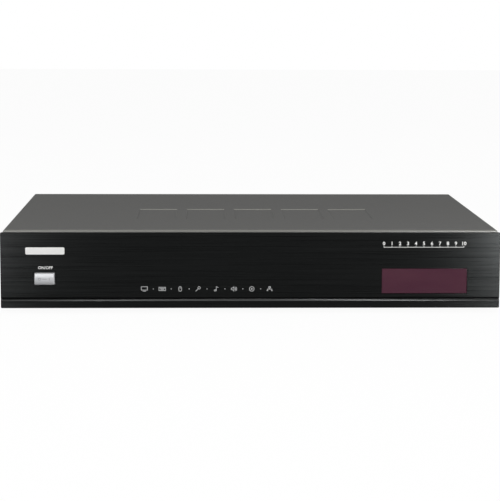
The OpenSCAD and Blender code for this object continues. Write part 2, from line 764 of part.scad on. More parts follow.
module clock_battery() {
    color("#c8c8c4") translate([70, 165, board_top]) {
        difference() {
            cylinder(r = 11.5, h = 4.4);
            translate([0, 0, 1]) cylinder(r = 10.1, h = 4);
        }
        translate([0, 0, 1]) cylinder(r = 10, h = 3.2);
    }
}

// White headers for the cables: x, y, size in x, size in y, height.
headers = [[-119, 165, 8, 16, 8], [-82, 165, 8, 16, 8], [40, 137.5, 18, 6, 8], [96, 225, 8, 12, 8],
           [96, 241, 8, 12, 8], [96, 252.4, 8, 5, 9]];
module board_headers() {
    color("#e9e6da") for (h = headers)
        translate([h[0] - h[2] / 2, h[1] - h[3] / 2, board_top]) cube([h[2], h[3], h[4]]);
}

socket_end = rear_face + 0.6;
module hdmi_socket() {
    color("#b4b6b8") translate([hdmi_x, 0, board_top + 3]) {
        difference() {
            along_y(socket_end - 12, socket_end) square([15, 6], center = true);
            along_y(socket_end - 9, socket_end + 1)
                polygon([[-6.9, 2.2], [6.9, 2.2], [6.9, -0.6], [5.4, -2.2], [-5.4, -2.2], [-6.9, -0.6]]);
        }
        along_y(socket_end - 9, socket_end - 1) square([12, 1], center = true);
    }
}

// Video socket: a D-shaped shell with fifteen contact holes, and its two hex posts.
module vga_socket() {
    color("#2b55a0") translate([vga_x, 0, board_top + 6.25]) {
        along_y(rear_in - 12, rear_in) square([31, 12.5], center = true);
        difference() {
            along_y(rear_in, rear_face + 5)
                polygon([[-8.2, 4.1], [8.2, 4.1], [6.8, -4.1], [-6.8, -4.1]]);
            for (r = [-1, 0, 1], i = [0:4])
                rod_y((i - 2) * 2.29 + (r == 0 ? 0.6 : 0), r * 1.98, rear_face + 1, rear_face + 6, 0.55);
        }
        for (s = [-1, 1]) {
            rod_y(s * 12.5, 0, rear_in, rear_face, 1.9);
            translate([s * 12.5, rear_face, 0]) rotate([-90, 0, 0]) difference() {
                cylinder(r = 2.7, h = 5, $fn = 6);
                translate([0, 0, 1]) cylinder(r = 1.2, h = 5);
            }
        }
    }
}

lan_cavity = [11.8, 12, 8];
module lan_socket() {
    color("#b4b6b8") translate([lan_x, 0, board_top + 6.75]) {
        difference() {
            along_y(socket_end - 18, socket_end) square([16, 13.5], center = true);
            along_y(socket_end - lan_cavity[1], socket_end + 1) {
                square([lan_cavity[0], lan_cavity[2]], center = true);
                translate([0, -4.8]) square([5.6, 3], center = true);
            }
        }
        for (i = [0:7]) translate([(i - 3.5) * 1.02 - 0.2, socket_end - lan_cavity[1], 2.8])
            cube([0.4, 8, 1.2]);
    }
}

// Two stacks of two USB sockets.
module usb_sockets() {
    color("#b4b6b8") for (x = usb_x) translate([x, 0, board_top + 8]) {
        difference() {
            along_y(socket_end - 17, socket_end) square([14.5, 16], center = true);
            along_y(socket_end - 13, socket_end + 1) for (z = [-3.9, 3.9])
                translate([0, z]) square([12.5, 5.1], center = true);
        }
        for (z = [-3.9, 3.9]) span([-5.5, socket_end - 13, z + 0.2], [5.5, socket_end - 1.5, z + 2]);
    }
}

module jack_block() {
    x0 = jack_cols[0] - 7;
    x1 = jack_cols[2] + 7;
    color("#1a1a1a") span([x0, rear_in - 14, board_top], [x1, rear_in, board_top + 16]);
}

// Plated sleeves of the three phono jacks, a little narrower inside their collars.
jack_core = 3.4;
module jack_shells() {
    color("#d5c48a") for (x = jack_cols) difference() {
        union() {
            rod_y(x, jack_z, rear_in, collar_y, jack_r - 0.2);
            rod_y(x, jack_z, collar_y, jack_end, jack_r);
        }
        rod_y(x, jack_z, rear_in - 1, jack_end + 1, jack_core);
    }
}

// Coloured collar and insulator of each phono jack.
module jack_inserts() {
    color("#b02a2a") for (x = jack_cols) {
        difference() {
            rod_y(x, jack_z, rear_in, collar_y, 5);
            rod_y(x, jack_z, rear_in - 1, collar_y + 1, jack_r - 0.2 + run_gap);
        }
        difference() {
            rod_y(x, jack_z, rear_in, jack_end - 0.6, jack_core - run_gap);
            rod_y(x, jack_z, rear_in + 0.6, jack_end + 1, jack_pin_r);
        }
    }
}

// Flat harness that arches from the power board to the main board.
module dc_harness() {
    h0 = headers[0];
    h1 = headers[1];
    z0 = board_top + h0[4];
    x0 = h0[0];
    x1 = h1[0];
    top = z0 + 9;
    path = concat([[x0, z0]], turn([x0 + 6, top - 6], 6, 180, -90),
                  turn([x1 - 6, top - 6], 6, 90, -90), [[x1, z0]]);
    color("#303030") along_y(h0[1] - 6, h0[1] + 6) polygon(ribbon(path, 1.6));
}

// Flat grey cable from the front board to the main board's front header.
module front_ribbon_cable() {
    y0 = board_y + board_t;
    h = headers[2];
    path = concat([[145, y0]], turn([139, y0 + 9], 6, 0, 90), turn([h[0] + 6, y0 + 21], 6, 270, -90),
                  [[h[0], h[1] - h[3] / 2]]);
    color("#a8aaa8") translate([0, 0, board_top + 2.5]) linear_extrude(12) polygon(ribbon(path, 1));
}

// ---------------------------------------------------------------- hard disk drive

module at_disk() {
    translate([disk_at[0], disk_at[1], 0]) children();
}

// Steel channel on the floor that holds the drive between its walls.
module disk_carrier() {
    in = disk_size[0] / 2 + rubber_t;
    h = 22;
    color("#b9bcbd") at_disk() difference() {
        union() {
            span([-in - sheet_t, -70, floor_z], [in + sheet_t, 70, floor_z + sheet_t]);
            for (s = [-1, 1]) translate([s * (in + sheet_t / 2), 0, 0])
                span([-sheet_t / 2, -70, floor_z], [sheet_t / 2, 70, floor_z + h]);
        }
        for (s = [-1, 1], y = side_hole_y) translate([s * (in + 0.5), y, side_hole_z])
            rotate([0, 90, 0]) cylinder(r = screw_r + hole_gap, h = 4, center = true);
        for (p = carrier_points()) translate([p[0] - disk_at[0], p[1] - disk_at[1], floor_z - 1])
            cylinder(r = screw_r + hole_gap, h = 3);
        translate([0, 0, floor_z - 1]) linear_extrude(3) {
            round_rect(50, 84, 4);
            for (s = [-1, 1]) translate([0, s * 58]) round_rect(40, 12, 4);
        }
    }
}

module disk_grommets() {
    color("#202020") at_disk() for (s = [-1, 1], y = side_hole_y)
        translate([s * (disk_size[0] / 2 + rubber_t / 2), y, side_hole_z]) rotate([0, 90, 0])
            difference() {
                cylinder(r = 4.5, h = rubber_t, center = true);
                cylinder(r = screw_r + hole_gap, h = rubber_t + 1, center = true);
            }
}

module disk_screws() {
    color("silver") {
        at_disk() for (s = [-1, 1], y = side_hole_y)
            translate([s * (disk_size[0] / 2 + rubber_t + sheet_t), y, side_hole_z])
                rotate([0, s * 90, 0]) screw(6, head_h = 1);
        for (p = carrier_points()) translate([p[0], p[1], foot_h]) rotate([180, 0, 0])
            screw(3, head_h = 1.4);
    }
}

// The room for the platters, the arms and the voice coil.
module disk_room() {
    translate(spindle) circle(platter_r[1] + 1.3);
    translate([8, -48]) round_rect(70, 42, 6);
    translate(pivot) circle(10);
    translate(pivot) rotate(arm_angle) translate([24, 0]) round_rect(62, 16, 5);
}

// Die-cast housing, open at the top.
module disk_housing() {
    color("#9fa3a6") at_disk() difference() {
        translate([0, 0, casting_z]) linear_extrude(casting_h)
            round_rect(disk_size[0], disk_size[1], 3);
        translate([0, 0, cavity_z]) linear_extrude(casting_h) disk_room();
        for (s = [-1, 1], y = side_hole_y) translate([s * disk_size[0] / 2, y, side_hole_z])
            rotate([0, 90, 0]) cylinder(r = screw_r + hole_gap, h = 9, center = true);
        translate([14, 64, 0]) span([-36, 0, casting_z - 1], [22, 20, casting_z + 4]);
    }
}

module disk_lid() {
    color("#c2c6c8") at_disk() {
        translate([0, 0, lid_z]) linear_extrude(0.8) round_rect(disk_size[0], disk_size[1], 3);
        translate([0, 0, lid_z + 0.8]) linear_extrude(0.8) {
            translate(spindle) circle(40);
            translate([8, -46]) round_rect(66, 30, 6);
        }
    }
}

module disk_circuit_board() {
    color("#14503a") at_disk() {
        span([-47, -70, disk_z], [47, 20, disk_z + 1.2]);
        span([-22, 20, disk_z], [36, 73, disk_z + 1.2]);
        for (c = [[-20, -30, 14], [15, -20, 10], [10, -52, 12]])
            translate([c[0], c[1], disk_z - 1]) cube([c[2], c[2], 1]);
        // the cable connector, in the housing's notch
        span([-20, 65, disk_z + 1.2], [34, 73, casting_z + 3.8]);
    }
}

// Stator plate and fixed shaft.
module spindle_motor() {
    color("#8c8f92") at_disk() translate([spindle[0], spindle[1], cavity_z]) {
        cylinder(r = 14, h = 2);
        cylinder(r = 2.5, h = 11.5);
    }
}

// Hub on the shaft, the ring between the platters and the clamp on top.
module spindle_hub() {
    bore = 2.5 + run_gap;
    top = platter_zs[1] + platter_t;
    color("#c2c6c8") at_disk() translate([spindle[0], spindle[1], 0]) {
        difference() {
            union() {
                translate([0, 0, platter_zs[0] - 1.5]) cylinder(r = 15, h = 1.5);
                translate([0, 0, platter_zs[0]]) cylinder(r = platter_r[0] - 0.1, h = top - platter_zs[0]);
            }
            cylinder(r = bore, h = 60);
        }
        translate([0, 0, platter_zs[0] + platter_t]) difference() {
            cylinder(r = 15.5, h = platter_zs[1] - platter_zs[0] - platter_t);
            translate([0, 0, -1]) cylinder(r = platter_r[0], h = 9);
        }
        translate([0, 0, top]) difference() {
            cylinder(r = 16, h = 1);
            translate([0, 0, -1]) cylinder(r = 4, h = 3);
        }
    }
}

module platters() {
    color("#dfe3e6") at_disk() for (z = platter_zs) translate([spindle[0], spindle[1], z]) difference() {
        cylinder(r = platter_r[1], h = platter_t, $fn = 96);
        translate([0, 0, -1]) cylinder(r = platter_r[0], h = platter_t + 2);
    }
}

// Three arms on one barrel, and the flat coil on its far side.
module head_arms() {
    z0 = cavity_z + 1;
    arm_zs = [platter_zs[0] - 0.8 - arm_t, (platter_zs[0] + platter_t + platter_zs[1]) / 2 - arm_t / 2,
              platter_zs[1] + platter_t + 0.8];
    color("#b8bcc0") at_disk() translate([pivot[0], pivot[1], 0]) difference() {
        union() {
            translate([0, 0, z0]) cylinder(r = 8, h = 12.2);
            for (z = arm_zs) rotate(arm_angle) translate([0, 0, z]) linear_extrude(arm_t)
                polygon([[3, -6], [20, -4.2], [arm_l - 4, -1.8], [arm_l, -1], [arm_l, 1],
                         [arm_l - 4, 1.8], [20, 4.2], [3, 6]]);
            rotate(coil_angle) translate([0, 0, z0 + 4.9]) linear_extrude(3) difference() {
                polygon([[3, -5], [12, -5], [27, -8], [30, -6], [30, 6], [27, 8], [12, 5], [3, 5]]);
                polygon([[15, -1.6], [25, -3.6], [25, 3.6], [15, 1.6]]);
            }
        }
        translate([0, 0, z0 - 1]) cylinder(r = 4.5 + run_gap, h = 16);
    }
}

// Pivot post, and the two magnet plates above and below the coil, on two posts: angle, distance.
magnet_posts = [[-24, 20], [-113, 29]];
module voice_coil_magnets() {
    color("#7c8084") at_disk() translate([pivot[0], pivot[1], cavity_z]) {
        cylinder(r = 4.5, h = 15);
        for (z = [0, 11]) translate([0, 0, z]) linear_extrude(4) intersection() {
            difference() {
                circle(33);
                circle(12);
            }
            polygon([[0, 0], [22, -5], [22, -40], [-22, -40]]);
        }
        for (p = magnet_posts) rotate(p[0]) translate([p[1], 0, 4]) cylinder(r = 1.8, h = 7);
    }
}

// Data and power cables of the drive, each with its plug, standing on edge.
module disk_cables() {
    y0 = disk_at[1] + disk_size[1] / 2;
    zc = casting_z - 0.2;
    data = headers[3];
    power = headers[4];
    color("#8e1f1f") {
        span([disk_at[0] - 19, y0, zc], [disk_at[0] - 5, y0 + 12, zc + 7]);
        translate([0, 0, zc]) linear_extrude(7) polygon(ribbon(concat(
            [[disk_at[0] - 12, y0 + 12]], turn([disk_at[0] - 18, data[1] - 6], 6, 0, 90),
            [[main_box[1], data[1]]]), 1.4));
    }
    color("#3a3a3a") {
        span([disk_at[0] + 2, y0, zc], [disk_at[0] + 26, y0 + 12, zc + 7]);
        translate([0, 0, zc]) linear_extrude(7) polygon(ribbon(concat(
            [[disk_at[0] + 14, y0 + 12]], turn([disk_at[0] + 8, power[1] - 6], 6, 0, 90),
            [[main_box[1], power[1]]]), 1.8));
    }
}

// ---------------------------------------------------------------- fan

module fan_frame() {
    y0 = rear_in - fan_d;
    plug = headers[5];
    color("#1c1c1c") {
        translate([fan_at[0], 0, fan_at[1]]) difference() {
            union() {
                difference() {
                    along_y(y0, rear_in) round_rect(fan_size, fan_size, 3);
                    rod_y(0, 0, y0 - 1, rear_in + 1, fan_size / 2 - 1);
                }
                rod_y(0, 0, rear_in - 1.8, rear_in, 9);
                for (a = [45:90:315]) rotate([0, a, 0])
                    span([-1, rear_in - 1.8, 8], [1, rear_in, fan_size / 2]);
            }
            for (x = [-16, 16], z = [-16, 16]) rod_y(x, z, y0 - 1, rear_in + 1, screw_r + hole_gap);
            rod_y(0, 0, rear_in - 3, rear_in + 1, 1.5 + run_gap);
        }
        // the fan's lead, on edge, to its header
        translate([0, 0, board_top + plug[4] - 3.5]) linear_extrude(3) polygon(ribbon(concat(
            [[fan_at[0] - fan_size / 2, y0 + 4]], turn([118, y0 - 2], 6, 90, 90),
            turn([106, plug[1] + 6], 6, 0, -90), [[main_box[1], plug[1]]]), 1));
    }
}

// Hub with pitched blades and its shaft.
module fan_rotor() {
    y0 = rear_in - fan_d + 0.7;
    y1 = rear_in - 2.3;
    color("#242424") translate([fan_at[0], 0, fan_at[1]]) {
        rod_y(0, 0, y0, y1, 8.5);
        rod_y(0, 0, y1, rear_in - 0.3, 1.5);
        intersection() {
            difference() {
                rod_y(0, 0, y0, y1, fan_size / 2 - 1.8);
                rod_y(0, 0, y0 - 1, y1 + 1, 8.2);
            }
            for (i = [0:blades - 1]) rotate([0, i * 360 / blades, 0])
                translate([0, (y0 + y1) / 2, 13.5]) rotate([0, 0, 38]) cube([11, 1, 13], center = true);
        }
    }
}

// ---------------------------------------------------------------- nodes

placed() front_plate();
placed() front_frame();
placed() display_window();
placed() front_board();
placed() display_module();
placed() ir_receiver();
placed() front_board_screws();
placed() power_button();
placed() switch_plunger();
placed() power_switch();
placed() chassis_base();
placed() rear_panel();
placed() top_cover();
placed() cover_screws();
placed() rear_panel_screws();
placed() front_screws();
placed() foot(-foot_x, foot_y[0]);  // foot_front_left
placed() foot(foot_x, foot_y[0]);  // foot_front_right
placed() foot(-foot_x, foot_y[1]);  // foot_rear_left
placed() foot(foot_x, foot_y[1]);  // foot_rear_right
placed() foot_screws();
placed() power_board();
placed() board_standoffs();
placed() board_screws();
placed() bulk_capacitor();
placed() power_transformer();
placed() line_filter_choke();
placed() power_heat_sinks();
placed() mains_fuse();
placed() small_capacitors();
placed() mains_inlet();
placed() mains_wires();
placed() main_board();
placed() main_chips();
placed() heat_sink();
placed() clock_battery();
placed() board_headers();
placed() hdmi_socket();
placed() vga_socket();
placed() lan_socket();
placed() usb_sockets();
placed() jack_block();
placed() jack_shells();
placed() jack_inserts();
placed() dc_harness();
placed() front_ribbon_cable();
placed() disk_carrier();
placed() disk_grommets();
placed() disk_screws();
placed() disk_housing();
placed() disk_lid();
placed() disk_circuit_board();
placed() spindle_motor();
placed() spindle_hub();
placed() platters();
placed() head_arms();
placed() voice_coil_magnets();
placed() disk_cables();
placed() fan_frame();
placed() fan_rotor();
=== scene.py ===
"""Looks of a full-width karaoke player: its camera and studio, the finish of every piece, and the pieces
whose soft edges and prints the frame leaves out. Metres in the frame's own axes: X is the width, Y the depth
from front to back, Z is up. Pieces are drawn in millimetres and brought to metres as they are finished.
"""
import math
from types import SimpleNamespace

import bmesh
import bpy
from mathutils import Matrix, Vector


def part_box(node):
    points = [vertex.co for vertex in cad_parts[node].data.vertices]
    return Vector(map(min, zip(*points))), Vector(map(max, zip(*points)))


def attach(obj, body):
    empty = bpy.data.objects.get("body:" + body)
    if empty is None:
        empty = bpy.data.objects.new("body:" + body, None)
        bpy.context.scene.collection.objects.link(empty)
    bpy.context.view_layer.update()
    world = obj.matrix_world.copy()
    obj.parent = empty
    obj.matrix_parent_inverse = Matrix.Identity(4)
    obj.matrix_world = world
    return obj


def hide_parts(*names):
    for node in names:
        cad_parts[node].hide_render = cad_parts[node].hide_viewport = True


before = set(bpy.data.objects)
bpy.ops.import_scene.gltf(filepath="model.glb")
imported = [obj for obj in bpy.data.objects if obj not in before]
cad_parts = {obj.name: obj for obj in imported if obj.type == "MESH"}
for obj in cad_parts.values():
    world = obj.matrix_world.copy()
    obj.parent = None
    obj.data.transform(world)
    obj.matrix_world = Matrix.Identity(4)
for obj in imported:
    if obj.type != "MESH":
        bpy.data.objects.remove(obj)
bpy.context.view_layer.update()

MM = 0.001

# Studio: the share of plain white in the floor as the camera sees it, the light of the world, where 1 is
# white, and half the floor's side in metres
FLOOR_WHITE = 0.95
WORLD_LIGHT = 0.4
FLOOR_REACH = 6
# Soft lamps: name, place, the point each looks at, its width and height in metres, and how bright
LAMPS = (
    ("overhead", (0, -0.45, 1.5), (0, -0.1, 0), (1.6, 0.9), 0.9),
    ("front", (0, -1.5, 1.25), (0, -0.1, 0.04), (1.8, 0.9), 3.0),
    ("left", (-1.5, -0.55, 0.55), (-0.2, -0.1, 0.04), (0.7, 0.5), 2.5),
    ("rear_left", (-1.2, 1.4, 0.65), (0, 0.15, 0.04), (0.8, 0.5), 1.4),
    ("rear_right", (1.2, 1.4, 0.65), (0, 0.15, 0.04), (0.8, 0.5), 1.4),
)
# Low reflectors in front of the plate's ends, in metres: their Y, the Z of their middle, their height, and
# for each one its X from and to, and how bright
REFLECTORS_Y = -0.45
REFLECTORS_Z = 0.23
REFLECTORS_HEIGHT = 0.36
REFLECTORS = ((-0.350, -0.249, 13.5), (-0.237, -0.205, 2.2), (-0.205, -0.165, 0.4), (0.228, 0.250, 3.6),
              (0.260, 0.360, 40.0))
# Blender's noise keeps to about this range
NOISE_RANGE = (0.3, 0.7)
# One wave of Blender's Wave texture is 0.314 long at scale 1, so this scale makes it 1 long
WAVE_SCALE = 0.314
# How far a finish's box reaches past its node, in mm
PAST = 1
# The cover's stamped panels lie within this distance of its middle, front and rear, in mm; the palest painted
# highlight, on their sloping walls, is kept within it
STAMPED_WITHIN = 100
# Circuit boards: the pitches of both layers of tracks and of the pads, in mm, and a pad's radius over its
# pitch
TRACK_PITCHES = (3.1, 4.7)
PAD_PITCH = 2.54
PAD_RADIUS = 0.24
# Edges that bend more than this many degrees are drawn sharp
CREASE = 35
# Spare distance for picking the edges that lie on a face, in mm
SLACK = 0.01
# Power key, in mm: how far its flange stands out round its face and lies behind the key's front, how thick
# the flange is, the radius of the face's edge and of the key's corners, the face's crown, and how far the
# face lies behind the key's front, to leave room for its mark
KEY_FLANGE = 2.4
KEY_FLANGE_BACK = 9.7
KEY_FLANGE_THICK = 1.2
KEY_EDGE = 1.5
KEY_CORNER = 0.7
KEY_CROWN = 1.6
KEY_FACE_DEPTH = 0.05
# Only the sides of the key's face and of its stem reach further than this along Y
KEY_SIDE = 7
# The key's stem, in mm: its inset from the flange's edge, its hollow's wall and depth, and then the share of
# its width that is kept
STEM_INSET = 4
STEM_WALL = 1.95
STEM_HOLLOW = 5
STEM_NARROWING = 0.5
# Heights over and under its middle at which the key's face is cut across, so that it can bend, in mm
CROWN_CUTS = (-3.4, -2.7, -1.8, -0.9, 0, 0.9, 1.8, 2.7, 3.4)
# Window, in mm: its flange's width and thickness, and the radius of its polished edge
WINDOW_FLANGE = 2
WINDOW_FLANGE_THICK = 1.8
WINDOW_EDGE = 0.15
# Bare nameplate, in mm: its middle and its size, X and Z, how far it stands out of the plate and is sunk in
# it, and the radii of its corners and of its edge
BADGE_AT = Vector((-176.7, 54.7))
BADGE_SIZE = Vector((33.5, 6.2))
BADGE_OUT = 0.7
BADGE_SUNK = 0.1
BADGE_CORNER = 1.1
BADGE_EDGE = 0.3
# Prints on the plate, in mm: each one's middle, X and Z, how far apart the numbers and the signs stand, and
# the ink's thickness
SWITCH_LABEL_AT = (-176.4, 40.0)
SCALE_AT = (148.8, 60.2)
SCALE_PITCH = 6.9
SIGNS_AT = (-37.9, 21.7)
SIGNS_PITCH = 15.4
PRINT_THICK = 0.04
# Prints on the rear, in mm: how far a socket's frame lies outside it, how far its sign stands over the frame,
# how far the numbers hang under the jacks, and from the row's end to the middle of its last jack
FRAME_MARGIN = 2.2
SIGN_OVER = 3.6
NUMBER_UNDER = 5.2
JACK_IN = 4.7

# A capital's height over its font's size
CAPITAL = 0.72

# Camera, with its focal length in pixels of the photograph's width, its place in metres and its turns in
# degrees
IMAGE_WIDTH_PX = 500
FOCAL_PX = 1764.3
SENSOR_MM = 36
CAMERA_AT = (-0.0451, -1.6524, 0.2609)
CAMERA_PITCH = -7.808
CAMERA_YAW = -1.682
CAMERA_ROLL = -0.224


def millimetres(name):
    """The lowest and highest corner of a CAD node, in millimetres."""
    low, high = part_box(name)
    return low / MM, high / MM


# ------------------------------------------------------------------------------------------------ nodes


def linear(code):
    """An sRGB hex colour as linear red, green, blue and alpha."""
    parts = [int(code[i:i + 2], 16) / 255 for i in (1, 3, 5)]
    return [p / 12.92 if p <= 0.04045 else ((p + 0.055) / 1.055) ** 2.4 for p in parts] + [1.0]


def node(tree, kind, inputs=None, **settings):
    """Adds a node with its settings. Each input takes a value, or the output of another node."""
    new = tree.nodes.new(kind)
    for name, value in settings.items():
        setattr(new, name, value)
    for name, value in (inputs or {}).items():
        if isinstance(value, bpy.types.NodeSocket):
            tree.links.new(value, new.inputs[name])
        else:
            new.inputs[name].default_value = value
    return new


def grain(made, size, detail=2.0):
    """Noise from 0 to 1, with grains of size mm along X, Y and Z."""
    cell = node(made.tree, "ShaderNodeMapping",
                {"Vector": made.where, "Scale": [1 / (s * MM) for s in size]})
    noise = node(made.tree, "ShaderNodeTexNoise",
                 {"Vector": cell.outputs[0], "Scale": 1.0, "Detail": detail})
    low, high = NOISE_RANGE
    return node(made.tree, "ShaderNodeMapRange",
                {"Value": noise.outputs[0], "From Min": low, "From Max": high}).outputs[0]


def blank(name, values):
    """A new material: its tree, its shader with the given values on its sockets, and Object coordinates."""
    material = bpy.data.materials.new(name)
    material.use_nodes = True
    tree = material.node_tree
    tree.nodes.clear()
    where = node(tree, "ShaderNodeTexCoord").outputs["Object"]
    shader = node(tree, "ShaderNodeBsdfPrincipled", values)
    node(tree, "ShaderNodeOutputMaterial", {"Surface": shader.outputs[0]})
    return SimpleNamespace(material=material, tree=tree, shader=shader, where=where)


def drive(made, pattern, dark, light, rough, relief=0.0):
    """Runs the colour from dark to light and the roughness over a pattern, with relief mm of height."""
    tree = made.tree
    colour = node(tree, "ShaderNodeMix", {0: pattern, 6: linear(dark), 7: linear(light)}, data_type="RGBA")
    shine = node(tree, "ShaderNodeMapRange", {"Value": pattern, "To Min": rough[0], "To Max": rough[1]})
    tree.links.new(colour.outputs[2], made.shader.inputs["Base Color"])
    tree.links.new(shine.outputs[0], made.shader.inputs["Roughness"])
    if relief:
        bump = node(tree, "ShaderNodeBump", {"Height": pattern, "Distance": relief * MM, "Strength": 1.0})
        tree.links.new(bump.outputs[0], made.shader.inputs["Normal"])


def surface(name, dark, light, size, rough, relief=0.0, detail=2.0, **values):
    """A finish that varies over one noise. values are set on the shader's own sockets."""
    made = blank(name, {key.replace("_", " "): value for key, value in values.items()})
    drive(made, grain(made, size, detail), dark, light, rough, relief)
    return made


def overlay(made, mask, colour, metallic, rough, even=False):
    """Where the mask is 1, the surface takes another colour, metallic and roughness. If even, it has no
    relief there."""
    sockets = (("Base Color", linear(colour), "RGBA", 6, 7, 2), ("Metallic", metallic, "FLOAT", 2, 3, 0),
               ("Roughness", rough, "FLOAT", 2, 3, 0))
    for name, value, kind, under_at, over_at, out_at in sockets:
        socket = made.shader.inputs[name]
        if socket.is_linked:
            under = socket.links[0].from_socket
        else:
            under = list(socket.default_value) if kind == "RGBA" else socket.default_value
        mixed = node(made.tree, "ShaderNodeMix", {0: mask, under_at: under, over_at: value}, data_type=kind)
        made.tree.links.new(mixed.outputs[out_at], socket)
    normal = made.shader.inputs["Normal"]
    if even and normal.is_linked:
        strength = normal.links[0].from_node.inputs["Strength"]
        kept = node(made.tree, "ShaderNodeMath", {0: 1.0, 1: mask}, operation="SUBTRACT")
        made.tree.links.new(kept.outputs[0], strength)


def region(name, x=(None, None), y=(None, None), z=(None, None)):
    """A box on a CAD node: its low and its high corner in mm. A range counts from the node's low side, or
    from its high side where it is negative, and reaches just past the node where it is None."""
    corners = [], []
    for low, high, ends in zip(*millimetres(name), (x, y, z)):
        for corner, at, past in zip(corners, ends, (low - PAST, high + PAST)):
            corner.append(past if at is None else (high if at < 0 else low) + at)
    return corners


def inlay(made, box, colour, metallic=0.0, rough=0.5, even=False):
    """Another finish within a box, given by its low and high corner in mm."""
    tree = made.tree
    low, high = box
    half = [(b - a) / 2 for a, b in zip(low, high)]
    shift = [-(a + b) / 2 / h for a, b, h in zip(low, high, half)]
    near = node(tree, "ShaderNodeMapping",
                {"Vector": made.where, "Location": shift, "Scale": [1 / (h * MM) for h in half]})
    size = node(tree, "ShaderNodeVectorMath", {0: near.outputs[0]}, operation="ABSOLUTE")
    parts = node(tree, "ShaderNodeSeparateXYZ", {0: size.outputs[0]})
    flat = node(tree, "ShaderNodeMath", {0: parts.outputs[0], 1: parts.outputs[1]}, operation="MAXIMUM")
    far = node(tree, "ShaderNodeMath", {0: flat.outputs[0], 1: parts.outputs[2]}, operation="MAXIMUM")
    mask = node(tree, "ShaderNodeMath", {0: far.outputs[0], 1: 1.0}, operation="LESS_THAN")
    overlay(made, mask.outputs[0], colour, metallic, rough, even)


# ------------------------------------------------------------------------------------------------ finishes


def black_brushed_aluminium():
    """Anodised aluminium, brushed sideways and dyed black: lights smear upwards across the brush lines and
    stay narrow along them. The real lines are some 0.1 mm wide, too fine to show, so they are drawn 0.45 mm
    wide, with faint bands among them. Only the engraved line's lower facet, the one that faces up, is painted
    lighter: a painted highlight."""
    made = blank("black_brushed_aluminium",
                 {"Metallic": 1.0, "Anisotropic": 0.85, "Anisotropic Rotation": 0.25})
    fine = grain(made, (70, 70, 0.45), detail=3.0)
    bands = grain(made, (150, 150, 2.2), detail=2.0)
    lines = node(made.tree, "ShaderNodeMix", {0: 0.45, 2: fine, 3: bands}, data_type="FLOAT").outputs[0]
    drive(made, lines, "#161717", "#202121", (0.24, 0.34), relief=0.012)
    # Painted highlight on the lower, upward-facing facet of the engraved line
    inlay(made, region("front_plate", y=(0.05, 1.7), z=(6.0, 7.88)), "#474848", 1, 0.4, even=True)
    return made


def grey_powder_coat():
    """Satin powder coat baked on steel: a soft grey with the fine swell of cured powder. Where the sheet
    slopes both along Y and upwards, as at its bends, it is painted paler as a painted highlight, and palest
    on the sloping walls of the stamped panels."""
    made = surface("grey_powder_coat", "#51514f", "#575755", (0.9, 0.9, 0.9), (0.6, 0.7), relief=0.012,
                   detail=3.0, Specular_IOR_Level=0.35)
    tree = made.tree
    # Painted highlight: faces that slope along Y and upwards, as at the bends, take a paler grey
    facing = node(tree, "ShaderNodeTexCoord").outputs["Normal"]
    turned = node(tree, "ShaderNodeSeparateXYZ", {0: facing})
    lengthways = node(tree, "ShaderNodeMath", {0: turned.outputs[1]}, operation="ABSOLUTE")
    sloping = node(tree, "ShaderNodeMapRange",
                   {"Value": lengthways.outputs[0], "From Min": 0.1, "From Max": 0.4})
    upward = node(tree, "ShaderNodeMapRange", {"Value": turned.outputs[2], "From Min": 0.05, "From Max": 0.3})
    painted_fold_highlight = node(tree, "ShaderNodeMath", {0: sloping.outputs[0], 1: upward.outputs[0]}, operation="MULTIPLY")
    overlay(made, painted_fold_highlight.outputs[0], "#74746f", 0.0, 0.45)
    # Painted highlight, paler still, on those slopes near the middle, where the stamped panels lie
    place = node(tree, "ShaderNodeSeparateXYZ", {0: made.where})
    inward = node(tree, "ShaderNodeMath", {0: place.outputs[1]}, operation="ABSOLUTE")
    stamped = node(tree, "ShaderNodeMath", {0: inward.outputs[0], 1: STAMPED_WITHIN * MM},
                   operation="LESS_THAN")
    edges = node(tree, "ShaderNodeMath", {0: painted_fold_highlight.outputs[0], 1: stamped.outputs[0]}, operation="MULTIPLY")
    overlay(made, edges.outputs[0], "#84847e", 0.0, 0.45)
    return made


def black_powder_coat():
    """Satin black powder coat on the rear panel, a little glossier than the cover's."""
    return surface("black_powder_coat", "#202121", "#2b2c2c", (0.8, 0.8, 0.8), (0.42, 0.56), relief=0.02)


def zinc_steel():
    """Hot-dip zinc on sheet steel: pale crystals a few millimetres across, each with its own faint sheen."""
    made = blank("zinc_steel", {"Metallic": 1.0})
    spread = node(made.tree, "ShaderNodeMapping", {"Vector": made.where, "Scale": [1 / (3.5 * MM)] * 3})
    crystal = node(made.tree, "ShaderNodeTexVoronoi", {"Vector": spread.outputs[0], "Scale": 1.0})
    shade = node(made.tree, "ShaderNodeSeparateColor", {0: crystal.outputs["Color"]}).outputs[0]
    drive(made, shade, "#aaaeb1", "#bbbfc2", (0.34, 0.42))
    return made


def black_moulding(name="black_moulding"):
    """Black ABS from a spark-eroded mould: matt, with a fine grain."""
    return surface(name, "#161616", "#212121", (0.4, 0.4, 0.4), (0.42, 0.58), relief=0.01)


def tinted_acrylic():
    """Cast acrylic dyed dark red: polished, with a deep flat colour."""
    return surface("tinted_acrylic", "#482333", "#4e2937", (40, 40, 14), (0.07, 0.12),
                   Specular_IOR_Level=0.15)


def satin_silver():
    """Silver satin paint on an ABS key: metal flakes too fine to tell apart, under a soft sheen."""
    return surface("satin_silver", "#a5a6a8", "#abacae", (0.4, 0.4, 0.4), (0.5, 0.58), relief=0.002,
                   Metallic=0.4, Specular_IOR_Level=0.3)


def badge_enamel():
    """White enamel on the nameplate, thick enough to round its edges."""
    return surface("badge_enamel", "#dededc", "#e3e3e1", (0.7, 0.7, 0.7), (0.3, 0.36), Coat_Weight=0.2)


